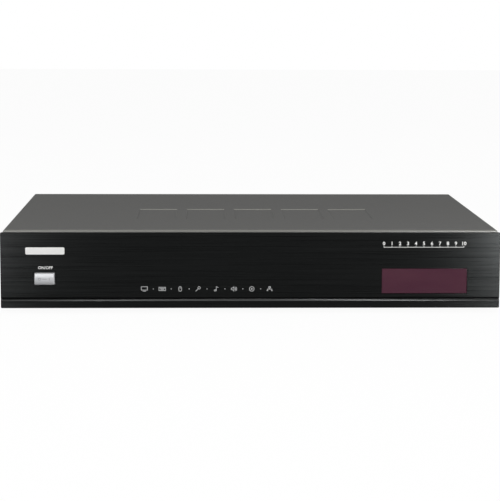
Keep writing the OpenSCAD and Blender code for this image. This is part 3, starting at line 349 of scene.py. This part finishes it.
def print_white():
    """White screen-printing ink: dense and flat."""
    return surface("print_white", "#dcdcda", "#efefee", (0.3, 0.3, 0.3), (0.5, 0.6))


def print_grey():
    """Grey screen-printing ink, thinner than the white."""
    return surface("print_grey", "#a6a7a8", "#b8b9b9", (0.3, 0.3, 0.3), (0.5, 0.6))


def print_shadow():
    """Dark grey screen-printing ink, worn thin by fingers."""
    return surface("print_shadow", "#6c6d6f", "#85868a", (0.3, 0.3, 0.3), (0.4, 0.5), Metallic=0.3)


def white_nylon():
    """Natural nylon: milky, with a waxy sheen."""
    return surface("white_nylon", "#d9d6c8", "#e8e5da", (1.5, 1.5, 1.5), (0.35, 0.5),
                   Subsurface_Weight=0.15)


def display_plastic():
    """Numeric display: a black case whose raised bars are milky red epoxy."""
    made = surface("display_plastic", "#cbb3b0", "#ddc9c5", (0.6, 0.6, 0.6), (0.3, 0.45))
    inlay(made, region("display_module", y=(0.41, None)), "#18181a")
    return made


def receiver_epoxy():
    """Infra-red receiver: dark resin that looks black from outside."""
    return surface("receiver_epoxy", "#151217", "#221b24", (1, 1, 1), (0.12, 0.2))


def chip_epoxy():
    """Moulded chip resin: dull black with a faint grain."""
    return surface("chip_epoxy", "#19191b", "#28282b", (0.35, 0.35, 0.35), (0.5, 0.65), relief=0.01)


def laminate(name, dark, light, track, metal):
    """Circuit board: a coloured mask over copper tracks that run square to each other, with rows of pads."""
    made = surface(name, dark, light, (9, 9, 9), (0.3, 0.42))
    tree = made.tree
    for pitch, turned in zip(TRACK_PITCHES, (0.0, math.pi / 2)):
        laid = node(tree, "ShaderNodeMapping", {"Vector": made.where, "Rotation": (0, 0, turned),
                                                "Scale": [1 / (pitch * MM)] * 3})
        tracks = node(tree, "ShaderNodeTexBrick",
                      {"Vector": laid.outputs[0], "Scale": 1.0, "Mortar Size": 0.07, "Mortar Smooth": 0.0,
                       "Brick Width": 3.3, "Row Height": 0.8})
        overlay(made, tracks.outputs["Fac"], track, 0.3, 0.35)
    grid = node(tree, "ShaderNodeMapping", {"Vector": made.where, "Scale": [1 / (PAD_PITCH * MM)] * 3})
    dots = node(tree, "ShaderNodeTexVoronoi", {"Vector": grid.outputs[0], "Scale": 1.0, "Randomness": 0.0},
                voronoi_dimensions="2D")
    close = node(tree, "ShaderNodeMath", {0: dots.outputs["Distance"], 1: PAD_RADIUS}, operation="LESS_THAN")
    drilled = node(tree, "ShaderNodeMath", {0: grain(made, (16, 16, 16)), 1: 0.6}, operation="GREATER_THAN")
    pads = node(tree, "ShaderNodeMath", {0: close.outputs[0], 1: drilled.outputs[0]}, operation="MULTIPLY")
    overlay(made, pads.outputs[0], metal, 1.0, 0.3)
    return made


def green_board():
    """Glass-epoxy board under green solder mask, with gold-flashed pads."""
    return laminate("green_board", "#0f4a33", "#16583e", "#23704f", "#c9a95c")


def brown_board():
    """Paper-phenolic board of the power supply, with tinned pads."""
    return laminate("brown_board", "#7f5f27", "#93712f", "#a98642", "#b9bbb8")


def black_rubber():
    """Moulded rubber foot: matt black, paler where it has bloomed."""
    return surface("black_rubber", "#121212", "#1f1f1e", (2.5, 2.5, 2.5), (0.7, 0.85), relief=0.02)


def black_screws():
    """Steel screw under black oxide: dark, with a dull metal sheen."""
    return surface("black_screws", "#1d1d1e", "#2f3031", (0.8, 0.8, 0.8), (0.3, 0.45), Metallic=0.9)


def bright_screws():
    """Zinc-plated steel screw: bright, with a faint straw tint."""
    return surface("bright_screws", "#b4b4ae", "#cfcfca", (1.2, 1.2, 1.2), (0.22, 0.36), Metallic=1.0)


def brass():
    """Turned brass: warm yellow, with fine tool rings across the standoff."""
    return surface("brass", "#b08a3d", "#cfae62", (6, 6, 0.3), (0.22, 0.34), relief=0.004, Metallic=1.0)


def capacitor_sleeve():
    """Shrunk PVC sleeve, deep blue, over an aluminium can whose top shows bare."""
    made = surface("capacitor_sleeve", "#1c2440", "#25305a", (4, 4, 4), (0.25, 0.35))
    for name in ("bulk_capacitor", "small_capacitors"):
        inlay(made, region(name, z=(-0.05, None)), "#b9bcbd", 1, 0.35)
    return made


def transformer_tape():
    """Ferrite core, dark and grainy, with yellow polyester tape round its winding, on a black foot."""
    made = surface("transformer_tape", "#303133", "#434446", (0.6, 0.6, 0.6), (0.5, 0.65), relief=0.02)
    for end in ((None, 6.01), (-6.01, None)):
        inlay(made, region("power_transformer", y=end, z=(7, -3)), "#c7ac2f", 0, 0.3)
    inlay(made, region("power_transformer", z=(None, 4)), "#1b1b1c")
    return made


def choke_winding():
    """Line filter choke: enamelled copper turns lie side by side over a black foot."""
    made = blank("choke_winding", {"Metallic": 0.6})
    turns = node(made.tree, "ShaderNodeMapping", {"Vector": made.where, "Scale": [1 / (0.8 * MM)] * 3})
    wound = node(made.tree, "ShaderNodeTexWave", {"Vector": turns.outputs[0], "Scale": WAVE_SCALE},
                 bands_direction="Y").outputs["Fac"]
    drive(made, wound, "#4a2212", "#a5552c", (0.3, 0.4), relief=0.2)
    inlay(made, region("line_filter_choke", z=(None, 3)), "#1b1b1c")
    return made


def extruded_aluminium():
    """Extruded aluminium: bright grey, with the die's faint lines along its fins."""
    return surface("extruded_aluminium", "#9a9ea1", "#b6babc", (0.5, 0.5, 14), (0.32, 0.44), relief=0.006,
                   Metallic=1.0)


def fuse_glass():
    """Glass fuse between nickel caps, held in spring clips."""
    made = surface("fuse_glass", "#dfe6e4", "#eef2f0", (3, 3, 3), (0.04, 0.1), Transmission_Weight=0.85)
    for end in ((None, 6.2), (-6.2, None)):
        inlay(made, region("mains_fuse", y=end), "#b9bbbc", 1, 0.25)
    return made


def wire_insulation():
    """PVC insulation: one brown and one blue wire in each pair. The boxes hold the blue ones."""
    made = surface("wire_insulation", "#5f3018", "#743e22", (6, 6, 6), (0.35, 0.45))
    for blue in (((-165, 85, 10), (-150, 130, 45)), ((-177.1, -110, 10), (-165, 45, 45))):
        inlay(made, blue, "#24508f", 0, 0.4)
    return made


def socket_plate(name):
    """Drawn steel socket shell under nickel: bright and slightly yellow."""
    return surface(name, "#a8a9a8", "#c3c4c2", (2, 2, 2), (0.22, 0.34), Metallic=1.0)


def usb_plate():
    """Nickel shells of the double sockets, whose contact tongues are white plastic."""
    made = socket_plate("usb_plate")
    low, high = millimetres("usb_sockets")
    middle = (low.z + high.z) / 2
    for x in (low.x + 7.25, high.x - 7.25):
        for z in (middle - 3.9, middle + 3.9):
            tongue = (x - 5.6, low.y + 4.01, z + 0.15), (x + 5.6, high.y - 1.4, z + 2.05)
            inlay(made, tongue, "#dcdad2", 0, 0.4)
    return made


def hdmi_plate():
    """Digital picture socket: a black tongue in a nickel shell."""
    made = socket_plate("hdmi_plate")
    low, high = millimetres("hdmi_socket")
    middle = (high.z - low.z) / 2
    tongue = region("hdmi_socket", x=(1.4, -1.4), y=(3.05, -0.95), z=(middle - 0.55, middle + 0.55))
    inlay(made, tongue, "#161616", 0, 0.45)
    return made


def lan_plate():
    """Network socket: a black throat behind the shell's face, with gold contacts."""
    made = socket_plate("lan_plate")
    inlay(made, region("lan_socket", x=(1.9, -1.9), y=(5.9, -0.3), z=(0.3, -2.6)), "#151515")
    inlay(made, region("lan_socket", x=(3.6, -3.6), y=(6.05, -3.9), z=(-4.05, -2.7)), "#d0a64a", 1, 0.25)
    return made


def video_socket():
    """Blue moulded face of the video socket, between two nickel posts."""
    made = surface("video_socket", "#1f4b96", "#2a5cab", (1, 1, 1), (0.35, 0.5))
    low, high = millimetres("vga_socket")
    middle = (high.x - low.x) / 2
    for post in ((None, middle - 9.4), (middle + 9.4, None)):
        inlay(made, region("vga_socket", x=post, y=(-6.2, None)), "#bfc0bf", 1, 0.28)
    inlay(made, region("vga_socket", y=(None, -6.1)), "#17181a")
    return made


def jack_plating():
    """Phono sleeve, thin bright nickel over brass."""
    return surface("jack_plating", "#b9b4a4", "#d2cdbd", (1.5, 1.5, 1.5), (0.16, 0.28), Metallic=1.0)


def jack_colours():
    """Collars and insulators in the usual code: yellow for the picture, white and red for the sound."""
    made = surface("jack_colours", "#d8d8d4", "#e6e6e2", (1, 1, 1), (0.3, 0.42))
    low, high = millimetres("jack_inserts")
    outer = 5 + (high.x - low.x - 10) / 4
    inlay(made, region("jack_inserts", x=(None, outer)), "#d2a80f", 0, 0.35)
    inlay(made, region("jack_inserts", x=(-outer, None)), "#b01a1c", 0, 0.35)
    return made


def inlet_moulding():
    """Thermoplastic mains inlet with nickel pins."""
    made = black_moulding("inlet_moulding")
    low, high = millimetres("mains_inlet")
    centre = (low + high) / 2
    for x, z in ((-7, -2), (7, -2), (0, 2.5)):
        pin = ((centre.x + x - 1.1, low.y + 8.05, centre.z + z - 2.1),
               (centre.x + x + 1.1, low.y + 20.05, centre.z + z + 2.1))
        inlay(made, pin, "#c3c4c2", 1, 0.25)
    strap = (low.x, low.y - PAST, centre.z - 1), (high.x, low.y + 6.05, centre.z + 1)
    inlay(made, strap, "#c3c4c2", 1, 0.3)
    return made


def battery_steel():
    """Clock battery: polished stainless steel in a black holder."""
    made = surface("battery_steel", "#b9bbba", "#d2d3d2", (0.4, 6, 6), (0.14, 0.26), Metallic=1.0)
    inlay(made, region("clock_battery", z=(-0.15, None)), "#1b1b1b")
    return made


def ribbed(name, dark, light, pitch, direction):
    """A flat cable: round conductors side by side, pitch mm apart, under soft PVC."""
    made = blank(name, {})
    lanes = node(made.tree, "ShaderNodeMapping", {"Vector": made.where, "Scale": [1 / (pitch * MM)] * 3})
    ribs = node(made.tree, "ShaderNodeTexWave", {"Vector": lanes.outputs[0], "Scale": WAVE_SCALE},
                bands_direction=direction).outputs["Fac"]
    drive(made, ribs, dark, light, (0.38, 0.5), relief=0.25)
    return made


def black_ribbon():
    """Flat black harness, its wires lying side by side."""
    return ribbed("black_ribbon", "#1a1a1b", "#333335", 1.6, "Y")


def grey_ribbon():
    """Flat grey ribbon cable with the fine ribs of its wires."""
    return ribbed("grey_ribbon", "#85878a", "#b4b6b8", 1.0, "Z")


def drive_cables():
    """Red data cable, the black power cable to its right, and their black plugs."""
    made = surface("drive_cables", "#8a1616", "#a32020", (5, 5, 1.2), (0.35, 0.45), relief=0.1)
    for black in ({"x": (51.5, None)}, {"y": (-8, None)}):
        inlay(made, region("disk_cables", **black), "#252527", 0, 0.45)
    return made


def cast_aluminium():
    """Die-cast aluminium under clear lacquer: grey, softly mottled."""
    return surface("cast_aluminium", "#888c8e", "#999d9f", (2.2, 2.2, 2.2), (0.42, 0.56), relief=0.015,
                   Metallic=0.9)


def drive_steel():
    """Stamped stainless steel lid, satin, with a blank paper label."""
    made = surface("drive_steel", "#b2b6b9", "#c9cdd0", (16, 0.4, 0.4), (0.26, 0.38), Metallic=1.0)
    inlay(made, region("disk_lid", x=(24, -24), y=(-84, -34), z=(1, None)), "#e9e8e3", 0, 0.6)
    return made


def machined_aluminium():
    """Milled aluminium: bright, with the cutter's faint lines some 0.5 mm apart."""
    return surface("machined_aluminium", "#b9bdc0", "#c9cdcf", (9, 0.5, 9), (0.24, 0.34), Metallic=1.0)


def platter_mirror():
    """Platter: a sputtered film on polished glass, mirror bright."""
    return surface("platter_mirror", "#cdd1d3", "#dadddf", (30, 30, 30), (0.03, 0.06), Metallic=1.0)


def fan_plastic():
    """Glass-filled polyester of the fan: charcoal, faintly streaked by its flow in the mould."""
    return surface("fan_plastic", "#1b1b1c", "#292a2b", (0.8, 3, 0.8), (0.36, 0.5))


# Every finish, and the CAD nodes that take it
FINISHES = {
    black_brushed_aluminium: ["front_plate"],
    grey_powder_coat: ["top_cover"],
    black_powder_coat: ["rear_panel"],
    zinc_steel: ["chassis_base", "disk_carrier"],
    inlet_moulding: ["mains_inlet"],
    black_moulding: ["front_frame", "power_switch", "jack_block"],
    tinted_acrylic: ["display_window"],
    satin_silver: ["power_button"],
    white_nylon: ["switch_plunger", "board_headers"],
    display_plastic: ["display_module"],
    receiver_epoxy: ["ir_receiver"],
    chip_epoxy: ["main_chips"],
    green_board: ["front_board", "main_board", "disk_circuit_board"],
    brown_board: ["power_board"],
    black_rubber: ["foot_front_left", "foot_front_right", "foot_rear_left", "foot_rear_right",
                   "disk_grommets"],
    black_screws: ["cover_screws", "rear_panel_screws"],
    bright_screws: ["front_screws", "front_board_screws", "foot_screws", "board_screws", "disk_screws"],
    brass: ["board_standoffs"],
    capacitor_sleeve: ["bulk_capacitor", "small_capacitors"],
    transformer_tape: ["power_transformer"],
    choke_winding: ["line_filter_choke"],
    extruded_aluminium: ["power_heat_sinks", "heat_sink"],
    fuse_glass: ["mains_fuse"],
    wire_insulation: ["mains_wires"],
    hdmi_plate: ["hdmi_socket"],
    lan_plate: ["lan_socket"],
    usb_plate: ["usb_sockets"],
    video_socket: ["vga_socket"],
    jack_plating: ["jack_shells"],
    jack_colours: ["jack_inserts"],
    battery_steel: ["clock_battery"],
    black_ribbon: ["dc_harness"],
    grey_ribbon: ["front_ribbon_cable"],
    drive_cables: ["disk_cables"],
    cast_aluminium: ["disk_housing"],
    drive_steel: ["disk_lid"],
    machined_aluminium: ["spindle_motor", "spindle_hub", "head_arms", "voice_coil_magnets"],
    platter_mirror: ["platters"],
    fan_plastic: ["fan_frame", "fan_rotor"],
}


def dress_frame():
    """Gives every CAD node its finish."""
    for finish, names in FINISHES.items():
        material = finish().material
        for name in names:
            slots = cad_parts[name].data.materials
            slots.clear()
            slots.append(material)


# ------------------------------------------------------------------------------------------------ studio


def camera():
    """Stands where the photograph was taken from and looks the same way, with no shift."""
    data = bpy.data.cameras.new("camera")
    data.sensor_width = SENSOR_MM
    data.sensor_fit = "HORIZONTAL"
    data.lens = SENSOR_MM * FOCAL_PX / IMAGE_WIDTH_PX
    turned = Matrix.Identity(4)
    for degrees, axis in ((CAMERA_YAW, "Z"), (CAMERA_PITCH, "X"), (CAMERA_ROLL, "Y"), (90, "X")):
        turned = turned @ Matrix.Rotation(math.radians(degrees), 4, axis)
    made = bpy.data.objects.new("camera", data)
    made.matrix_world = Matrix.Translation(CAMERA_AT) @ turned
    bpy.context.scene.collection.objects.link(made)
    bpy.context.scene.camera = made


def softbox(name, at, towards, size, radiance, lights_matt=True):
    """A rectangular soft lamp of that radiance, where 1 is a white wall's. Without lights_matt it shows in
    glossy surfaces alone, as a far reflector does."""
    data = bpy.data.lights.new(name, "AREA")
    data.shape = "RECTANGLE"
    data.size, data.size_y = size
    data.energy = radiance * math.pi * size[0] * size[1]
    made = bpy.data.objects.new(name, data)
    made.location = at
    made.rotation_euler = (Vector(towards) - Vector(at)).to_track_quat("-Z", "Y").to_euler()
    made.visible_camera = False
    made.visible_diffuse = lights_matt
    bpy.context.scene.collection.objects.link(made)


def seen_by_camera(tree):
    """1 for rays from the camera, and from it through glass; 0 for the light that falls on things."""
    path = node(tree, "ShaderNodeLightPath")
    return node(tree, "ShaderNodeMath",
                {0: path.outputs["Is Camera Ray"], 1: path.outputs["Is Transmission Ray"]},
                operation="MAXIMUM").outputs[0]


def pale_floor():
    """White paper floor that keeps a faint shadow under the player."""
    bm = bmesh.new()
    bmesh.ops.create_grid(bm, x_segments=1, y_segments=1, size=FLOOR_REACH)
    mesh = bpy.data.meshes.new("floor")
    bm.to_mesh(mesh)
    bm.free()
    floor = bpy.data.objects.new("floor", mesh)
    bpy.context.scene.collection.objects.link(floor)
    paper = bpy.data.materials.new("floor_paper")
    paper.use_nodes = True
    tree = paper.node_tree
    tree.nodes.clear()
    matt = node(tree, "ShaderNodeBsdfDiffuse", {"Color": linear("#fafafa")})
    white = node(tree, "ShaderNodeEmission", {"Color": linear("#ffffff"), "Strength": 1.0})
    share = node(tree, "ShaderNodeMath", {0: seen_by_camera(tree), 1: FLOOR_WHITE}, operation="MULTIPLY")
    mixed = node(tree, "ShaderNodeMixShader", {0: share.outputs[0], 1: matt.outputs[0], 2: white.outputs[0]})
    node(tree, "ShaderNodeOutputMaterial", {"Surface": mixed.outputs[0]})
    mesh.materials.append(paper)


def white_world():
    """Even grey light from all round, seen as white."""
    world = bpy.data.worlds.new("world")
    bpy.context.scene.world = world
    world.use_nodes = True
    tree = world.node_tree
    tree.nodes.clear()
    level = node(tree, "ShaderNodeMix", {0: seen_by_camera(tree), 2: WORLD_LIGHT, 3: 1.0}, data_type="FLOAT")
    sky = node(tree, "ShaderNodeBackground", {"Color": linear("#ffffff"), "Strength": level.outputs[0]})
    node(tree, "ShaderNodeOutputWorld", {"Surface": sky.outputs[0]})


def studio():
    """Camera, world, floor, soft lamps all round, and low reflectors that light the plate's ends."""
    camera()
    white_world()
    pale_floor()
    for lamp in LAMPS:
        softbox(*lamp)
    for i, (left, right, radiance) in enumerate(REFLECTORS):
        middle = (left + right) / 2
        softbox(f"reflector_{i}", (middle, REFLECTORS_Y, REFLECTORS_Z), (middle, 0, REFLECTORS_Z),
                (right - left, REFLECTORS_HEIGHT), radiance, lights_matt=False)


# ------------------------------------------------------------------------------------------------ pieces


def piece(name, bm, finish, body, replaced=()):
    """Makes an object of a bmesh drawn in mm at its place. It rides on the body."""
    bmesh.ops.scale(bm, vec=(MM, MM, MM), verts=bm.verts)
    mesh = bpy.data.meshes.new(name)
    bm.to_mesh(mesh)
    bm.free()
    mesh.shade_smooth()
    mesh.set_sharp_from_angle(angle=math.radians(CREASE))
    mesh.materials.append(finish.material)
    made = bpy.data.objects.new(name, mesh)
    bpy.context.scene.collection.objects.link(made)
    made.modifiers.new("flat faces shade flat", "WEIGHTED_NORMAL").keep_sharp = True
    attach(made, body)
    if replaced:
        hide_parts(*replaced)
    return made


def block(bm, low, high):
    """A box from its lowest to its highest corner. Returns its faces."""
    low, high = Vector(low), Vector(high)
    place = Matrix.Translation((low + high) / 2) @ Matrix.Diagonal((*(high - low), 1))
    corners = bmesh.ops.create_cube(bm, size=1, matrix=place)["verts"]
    return list(dict.fromkeys(face for corner in corners for face in corner.link_faces))


def looking(faces, direction):
    """Of some faces, the one that looks most along the direction."""
    return max(faces, key=lambda face: face.normal.dot(Vector(direction)))


def pull(bm, face, shift):
    """Extrudes one face by the shift and returns its new end."""
    end = bmesh.ops.extrude_discrete_faces(bm, faces=[face])["faces"][0]
    bmesh.ops.translate(bm, vec=shift, verts=end.verts)
    return end


def depth(edge):
    """How far an edge reaches along Y."""
    return abs(edge.verts[0].co.y - edge.verts[1].co.y)


def soften(bm, edges, radius, segments=4):
    """Rounds edges."""
    bmesh.ops.bevel(bm, geom=edges, offset=radius, offset_type="OFFSET", segments=segments, profile=0.5,
                    affect="EDGES", material=-1, clamp_overlap=True)


def power_key(finish):
    """Cap of the power button: a face crowned from top to bottom, on a flange, with a hollow stem for the
    plunger."""
    low, high = millimetres("power_button")
    flange_at = low.y + KEY_FLANGE_BACK
    face_at = low.y + KEY_FACE_DEPTH
    centre = (low + high) / 2
    bm = bmesh.new()
    faces = block(bm, (low.x, flange_at, low.z), (high.x, flange_at + KEY_FLANGE_THICK, high.z))
    bm.normal_update()
    front = looking(faces, (0, -1, 0))
    back = looking(faces, (0, 1, 0))
    bmesh.ops.inset_region(bm, faces=[front], thickness=KEY_FLANGE, use_even_offset=True)
    pull(bm, front, (0, face_at - flange_at, 0))
    bmesh.ops.inset_region(bm, faces=[back], thickness=STEM_INSET, use_even_offset=True)
    bmesh.ops.scale(bm, vec=(STEM_NARROWING, 1, 1), space=Matrix.Translation(-centre), verts=back.verts)
    back = pull(bm, back, (0, high.y - flange_at - KEY_FLANGE_THICK, 0))
    bmesh.ops.inset_region(bm, faces=[back], thickness=STEM_WALL, use_even_offset=True)
    pull(bm, back, (0, -STEM_HOLLOW, 0))
    soften(bm, [e for e in bm.edges if depth(e) > KEY_SIDE], KEY_CORNER, segments=3)
    soften(bm, [e for e in bm.edges if max(v.co.y for v in e.verts) < face_at + SLACK], KEY_EDGE, segments=5)
    for z in CROWN_CUTS:
        flat = [f for f in bm.faces if f.normal.y < -0.9]
        bmesh.ops.bisect_plane(bm, geom=bm.verts[:] + bm.edges[:] + flat, plane_co=(0, 0, centre.z + z),
                               plane_no=(0, 0, 1))
    half = (high.z - low.z) / 2 - KEY_FLANGE
    for vert in bm.verts:
        if vert.co.y < (face_at + flange_at) / 2:
            vert.co.y += KEY_CROWN * min(abs(vert.co.z - centre.z) / half, 1) ** 3
    return piece("power_key", bm, finish, "push_button", ["power_button"])


def window_slab(finish):
    """Acrylic window: polished edges round its face, and the flange that holds it."""
    low, high = millimetres("display_window")
    bm = bmesh.new()
    faces = block(bm, (low.x, high.y - WINDOW_FLANGE_THICK, low.z), high)
    bm.normal_update()
    front = looking(faces, (0, -1, 0))
    bmesh.ops.inset_region(bm, faces=[front], thickness=WINDOW_FLANGE, use_even_offset=True)
    front = pull(bm, front, (0, low.y - high.y + WINDOW_FLANGE_THICK, 0))
    soften(bm, list(front.edges), WINDOW_EDGE, segments=2)
    return piece("window_slab", bm, finish, "case", ["display_window"])


def bar(bm, points, i, width):
    """The printed bar from point i of a line to the next. Its ends are mitred where another bar goes on."""
    start, end = points[i], points[i + 1]
    along = (end - start).normalized()
    joined = points[0] == points[-1]
    before = points[i - 1] if i else (points[-2] if joined else None)
    after = points[i + 2] if i + 2 < len(points) else (points[1] if joined else None)
    # A free end keeps half its width more, and a joined one enough for its mitre to be cut
    spare = [width / 2 if next_point is None else 1.5 * width for next_point in (before, after)]
    turned = Matrix.Rotation(-math.atan2(along.z, along.x), 4, "Y")
    size = Matrix.Diagonal(((end - start).length + sum(spare), 2 * PRINT_THICK, width, 1))
    middle = (start + end + along * (spare[1] - spare[0])) / 2
    corners = bmesh.ops.create_cube(bm, size=1, matrix=Matrix.Translation(middle) @ turned @ size)["verts"]
    for at, next_point, side in ((start, before, -1), (end, after, 1)):
        if next_point is None:
            continue
        onward = side * along + (next_point - at).normalized()
        around = dict.fromkeys(part for vert in corners if vert.is_valid for face in vert.link_faces
                               for part in (face, *face.edges, *face.verts))
        kept = bmesh.ops.bisect_plane(bm, geom=list(around), dist=1e-6, plane_co=at, plane_no=onward,
                                      clear_outer=True)["geom"]
        corners = [part for part in kept if isinstance(part, bmesh.types.BMVert)]
    return corners


def drawing(bm, lines, at, face, width=0.5, across=1):
    """Printed lines through their points, X and Z in mm from at. across is -1 on the rear, where the print is
    read from behind."""
    for points in lines:
        placed = [Vector((at[0] + across * x, face, at[1] + z)) for x, z in points]
        inked = [vert for i in range(len(placed) - 1) for vert in bar(bm, placed, i, width)]
        bmesh.ops.remove_doubles(bm, verts=inked, dist=1e-4)


def ring(x, z, r, first=0, last=360, steps=14):
    """Points on a circle about (x, z), for a drawing."""
    return [(x + r * math.cos(math.radians(first + (last - first) * i / steps)),
             z + r * math.sin(math.radians(first + (last - first) * i / steps))) for i in range(steps + 1)]


def lettering(bm, words, height, at, face, weight=0.0, turn=0):
    """Printed numbers or letters about a point, height mm high and weight mm bolder. turn is 180 on the
    rear."""
    curve = bpy.data.curves.new(words, "FONT")
    curve.body = words
    curve.size = height / CAPITAL
    curve.align_x = "CENTER"
    curve.align_y = "CENTER"
    curve.extrude = PRINT_THICK
    curve.offset = weight
    curve.resolution_u = 3
    made = bpy.data.objects.new(words, curve)
    flat = bpy.data.meshes.new_from_object(made)
    upright = Matrix.Rotation(math.radians(turn), 4, "Z") @ Matrix.Rotation(math.radians(90), 4, "X")
    flat.transform(Matrix.Translation((at[0], face, at[1])) @ upright)
    bm.from_mesh(flat)
    bpy.data.objects.remove(made)
    bpy.data.curves.remove(curve)
    bpy.data.meshes.remove(flat)


def white_prints(finish):
    """ON and OFF over the button, and a level scale from 0 to 10 over the display."""
    face = millimetres("front_plate")[0].y
    bm = bmesh.new()
    lettering(bm, "ON/OFF", 2.5, SWITCH_LABEL_AT, face, weight=0.06)
    for i in range(11):
        x = SCALE_AT[0] + (i - 5) * SCALE_PITCH
        lettering(bm, str(i), 3.1, (x, SCALE_AT[1] + 0.8), face, weight=0.1)
        drawing(bm, [((0, -1.4), (0, -1.7))], (x, SCALE_AT[1]), face, 0.45)
    drawing(bm, [((-5 * SCALE_PITCH, -2.3), (5 * SCALE_PITCH, -2.3))], SCALE_AT, face, 0.4)
    return piece("white_prints", bm, finish, "case")


# Signs in a row along the plate, each drawn about its own middle
SIGNS = (
    (((-2.6, -1.0), (-2.6, 1.9), (2.6, 1.9), (2.6, -1.0), (-2.6, -1.0)), ((-1.2, -1.9), (1.2, -1.9))),
    (((-2.8, -1.4), (-2.8, 1.4), (2.8, 1.4), (2.8, -1.4), (-2.8, -1.4)), ((-1.8, 0.4), (1.8, 0.4)),
     ((-1.2, -0.5), (1.2, -0.5))),
    ([*ring(0, 0.8, 1.2, 0, 180, 8), *ring(0, -0.8, 1.2, 180, 360, 8), (1.2, 0.8)],
     ((0, 1.1), (0, 0.6))),
    (ring(0.9, 0.9, 1.0), ((-0.2, -0.2), (-1.9, -1.9))),
    (ring(-0.9, -1.3, 0.6), ((0.2, -1.6), (0.2, 1.9), (1.8, 1.3))),
    (((-2.2, -0.7), (-2.2, 0.7), (-1.2, 0.7), (0, 1.8), (0, -1.8), (-1.2, -0.7), (-2.2, -0.7)),
     ring(0.3, 0, 1.1, -50, 50, 5), ring(0.3, 0, 2.1, -50, 50, 7)),
    (ring(0, 0, 2.0, steps=18), ring(0, 0, 0.5, steps=8)),
    (((-0.7, 0.8), (-0.7, 1.9), (0.7, 1.9), (0.7, 0.8), (-0.7, 0.8)), ((0, 0.31), (0, 0.29)),
     ((-1.9, -1.1), (-1.9, -0.2), (1.9, -0.2), (1.9, -1.1)), ((-2.3, -1.6), (-1.5, -1.6)),
     ((1.5, -1.6), (2.3, -1.6))),
)
# Places in that row of the signs that also stand on the rear
SCREEN, KEYS, SPEAKER, NETWORK = 0, 1, 5, 7


def grey_prints(finish):
    """A row of plain signs along the plate, with dots between: screen, keys, mouse, microphone, note,
    speaker, disk, network."""
    face = millimetres("front_plate")[0].y
    bm = bmesh.new()
    for i, sign in enumerate(SIGNS):
        x = SIGNS_AT[0] + (i - (len(SIGNS) - 1) / 2) * SIGNS_PITCH
        drawing(bm, sign, (x, SIGNS_AT[1]), face)
        if i:
            drawing(bm, [((-0.1, 0), (0.1, 0))], (x - SIGNS_PITCH / 2, SIGNS_AT[1]), face, 0.6)
    return piece("grey_prints", bm, finish, "case")


def key_mark(finish):
    """The ring and the bar of a mains switch, printed faintly on the power key."""
    low, high = millimetres("power_button")
    middle = (low + high) / 2
    bm = bmesh.new()
    signs = (ring(-4.2, 0, 1.0), ((4.2, -1.0), (4.2, 1.0)), ((-1.8, 0), (1.8, 0)))
    drawing(bm, signs, (middle.x, middle.z), low.y + KEY_FACE_DEPTH, width=0.45)
    return piece("key_mark", bm, finish, "push_button")


def rear_prints(finish):
    """Frames round the sockets on the rear, a plain sign over each kind, and numbers under the jacks."""
    face = millimetres("rear_panel")[1].y
    bm = bmesh.new()
    for name, sign in (("usb_sockets", KEYS), ("lan_socket", NETWORK), ("hdmi_socket", SCREEN),
                       ("vga_socket", SCREEN), ("jack_shells", SPEAKER)):
        low, high = millimetres(name)
        left, right = low.x - FRAME_MARGIN, high.x + FRAME_MARGIN
        foot, top = low.z - FRAME_MARGIN, high.z + FRAME_MARGIN
        outline = ((left, foot), (right, foot), (right, top), (left, top), (left, foot))
        drawing(bm, [outline], (0, 0), face, 0.35)
        drawing(bm, SIGNS[sign], ((left + right) / 2, top + SIGN_OVER), face, 0.4, across=-1)
    low, high = millimetres("jack_shells")
    for i in range(3):
        x = high.x - JACK_IN - i * (high.x - low.x - 2 * JACK_IN) / 2
        lettering(bm, str(i + 1), 2.4, (x, low.z - NUMBER_UNDER), face, turn=180)
    return piece("rear_prints", bm, finish, "case")


def name_badge(finish):
    """Bare enamelled nameplate with round corners, over the power key."""
    face = millimetres("front_plate")[0].y
    bm = bmesh.new()
    half = BADGE_SIZE / 2
    block(bm, (BADGE_AT.x - half.x, face - BADGE_OUT, BADGE_AT.y - half.y),
          (BADGE_AT.x + half.x, face + BADGE_SUNK, BADGE_AT.y + half.y))
    bm.normal_update()
    soften(bm, [e for e in bm.edges if depth(e) > BADGE_OUT], BADGE_CORNER)
    rim = [e for e in bm.edges if max(v.co.y for v in e.verts) < face - BADGE_OUT + SLACK]
    soften(bm, rim, BADGE_EDGE, segments=3)
    return piece("name_badge", bm, finish, "case")


# ------------------------------------------------------------------------------------------------ scene

studio()
dress_frame()
grey_ink = print_grey()
power_key(satin_silver())
window_slab(tinted_acrylic())
name_badge(badge_enamel())
white_prints(print_white())
grey_prints(grey_ink)
key_mark(print_shadow())
rear_prints(grey_ink)

bpy.context.scene.view_settings.view_transform = "Standard"
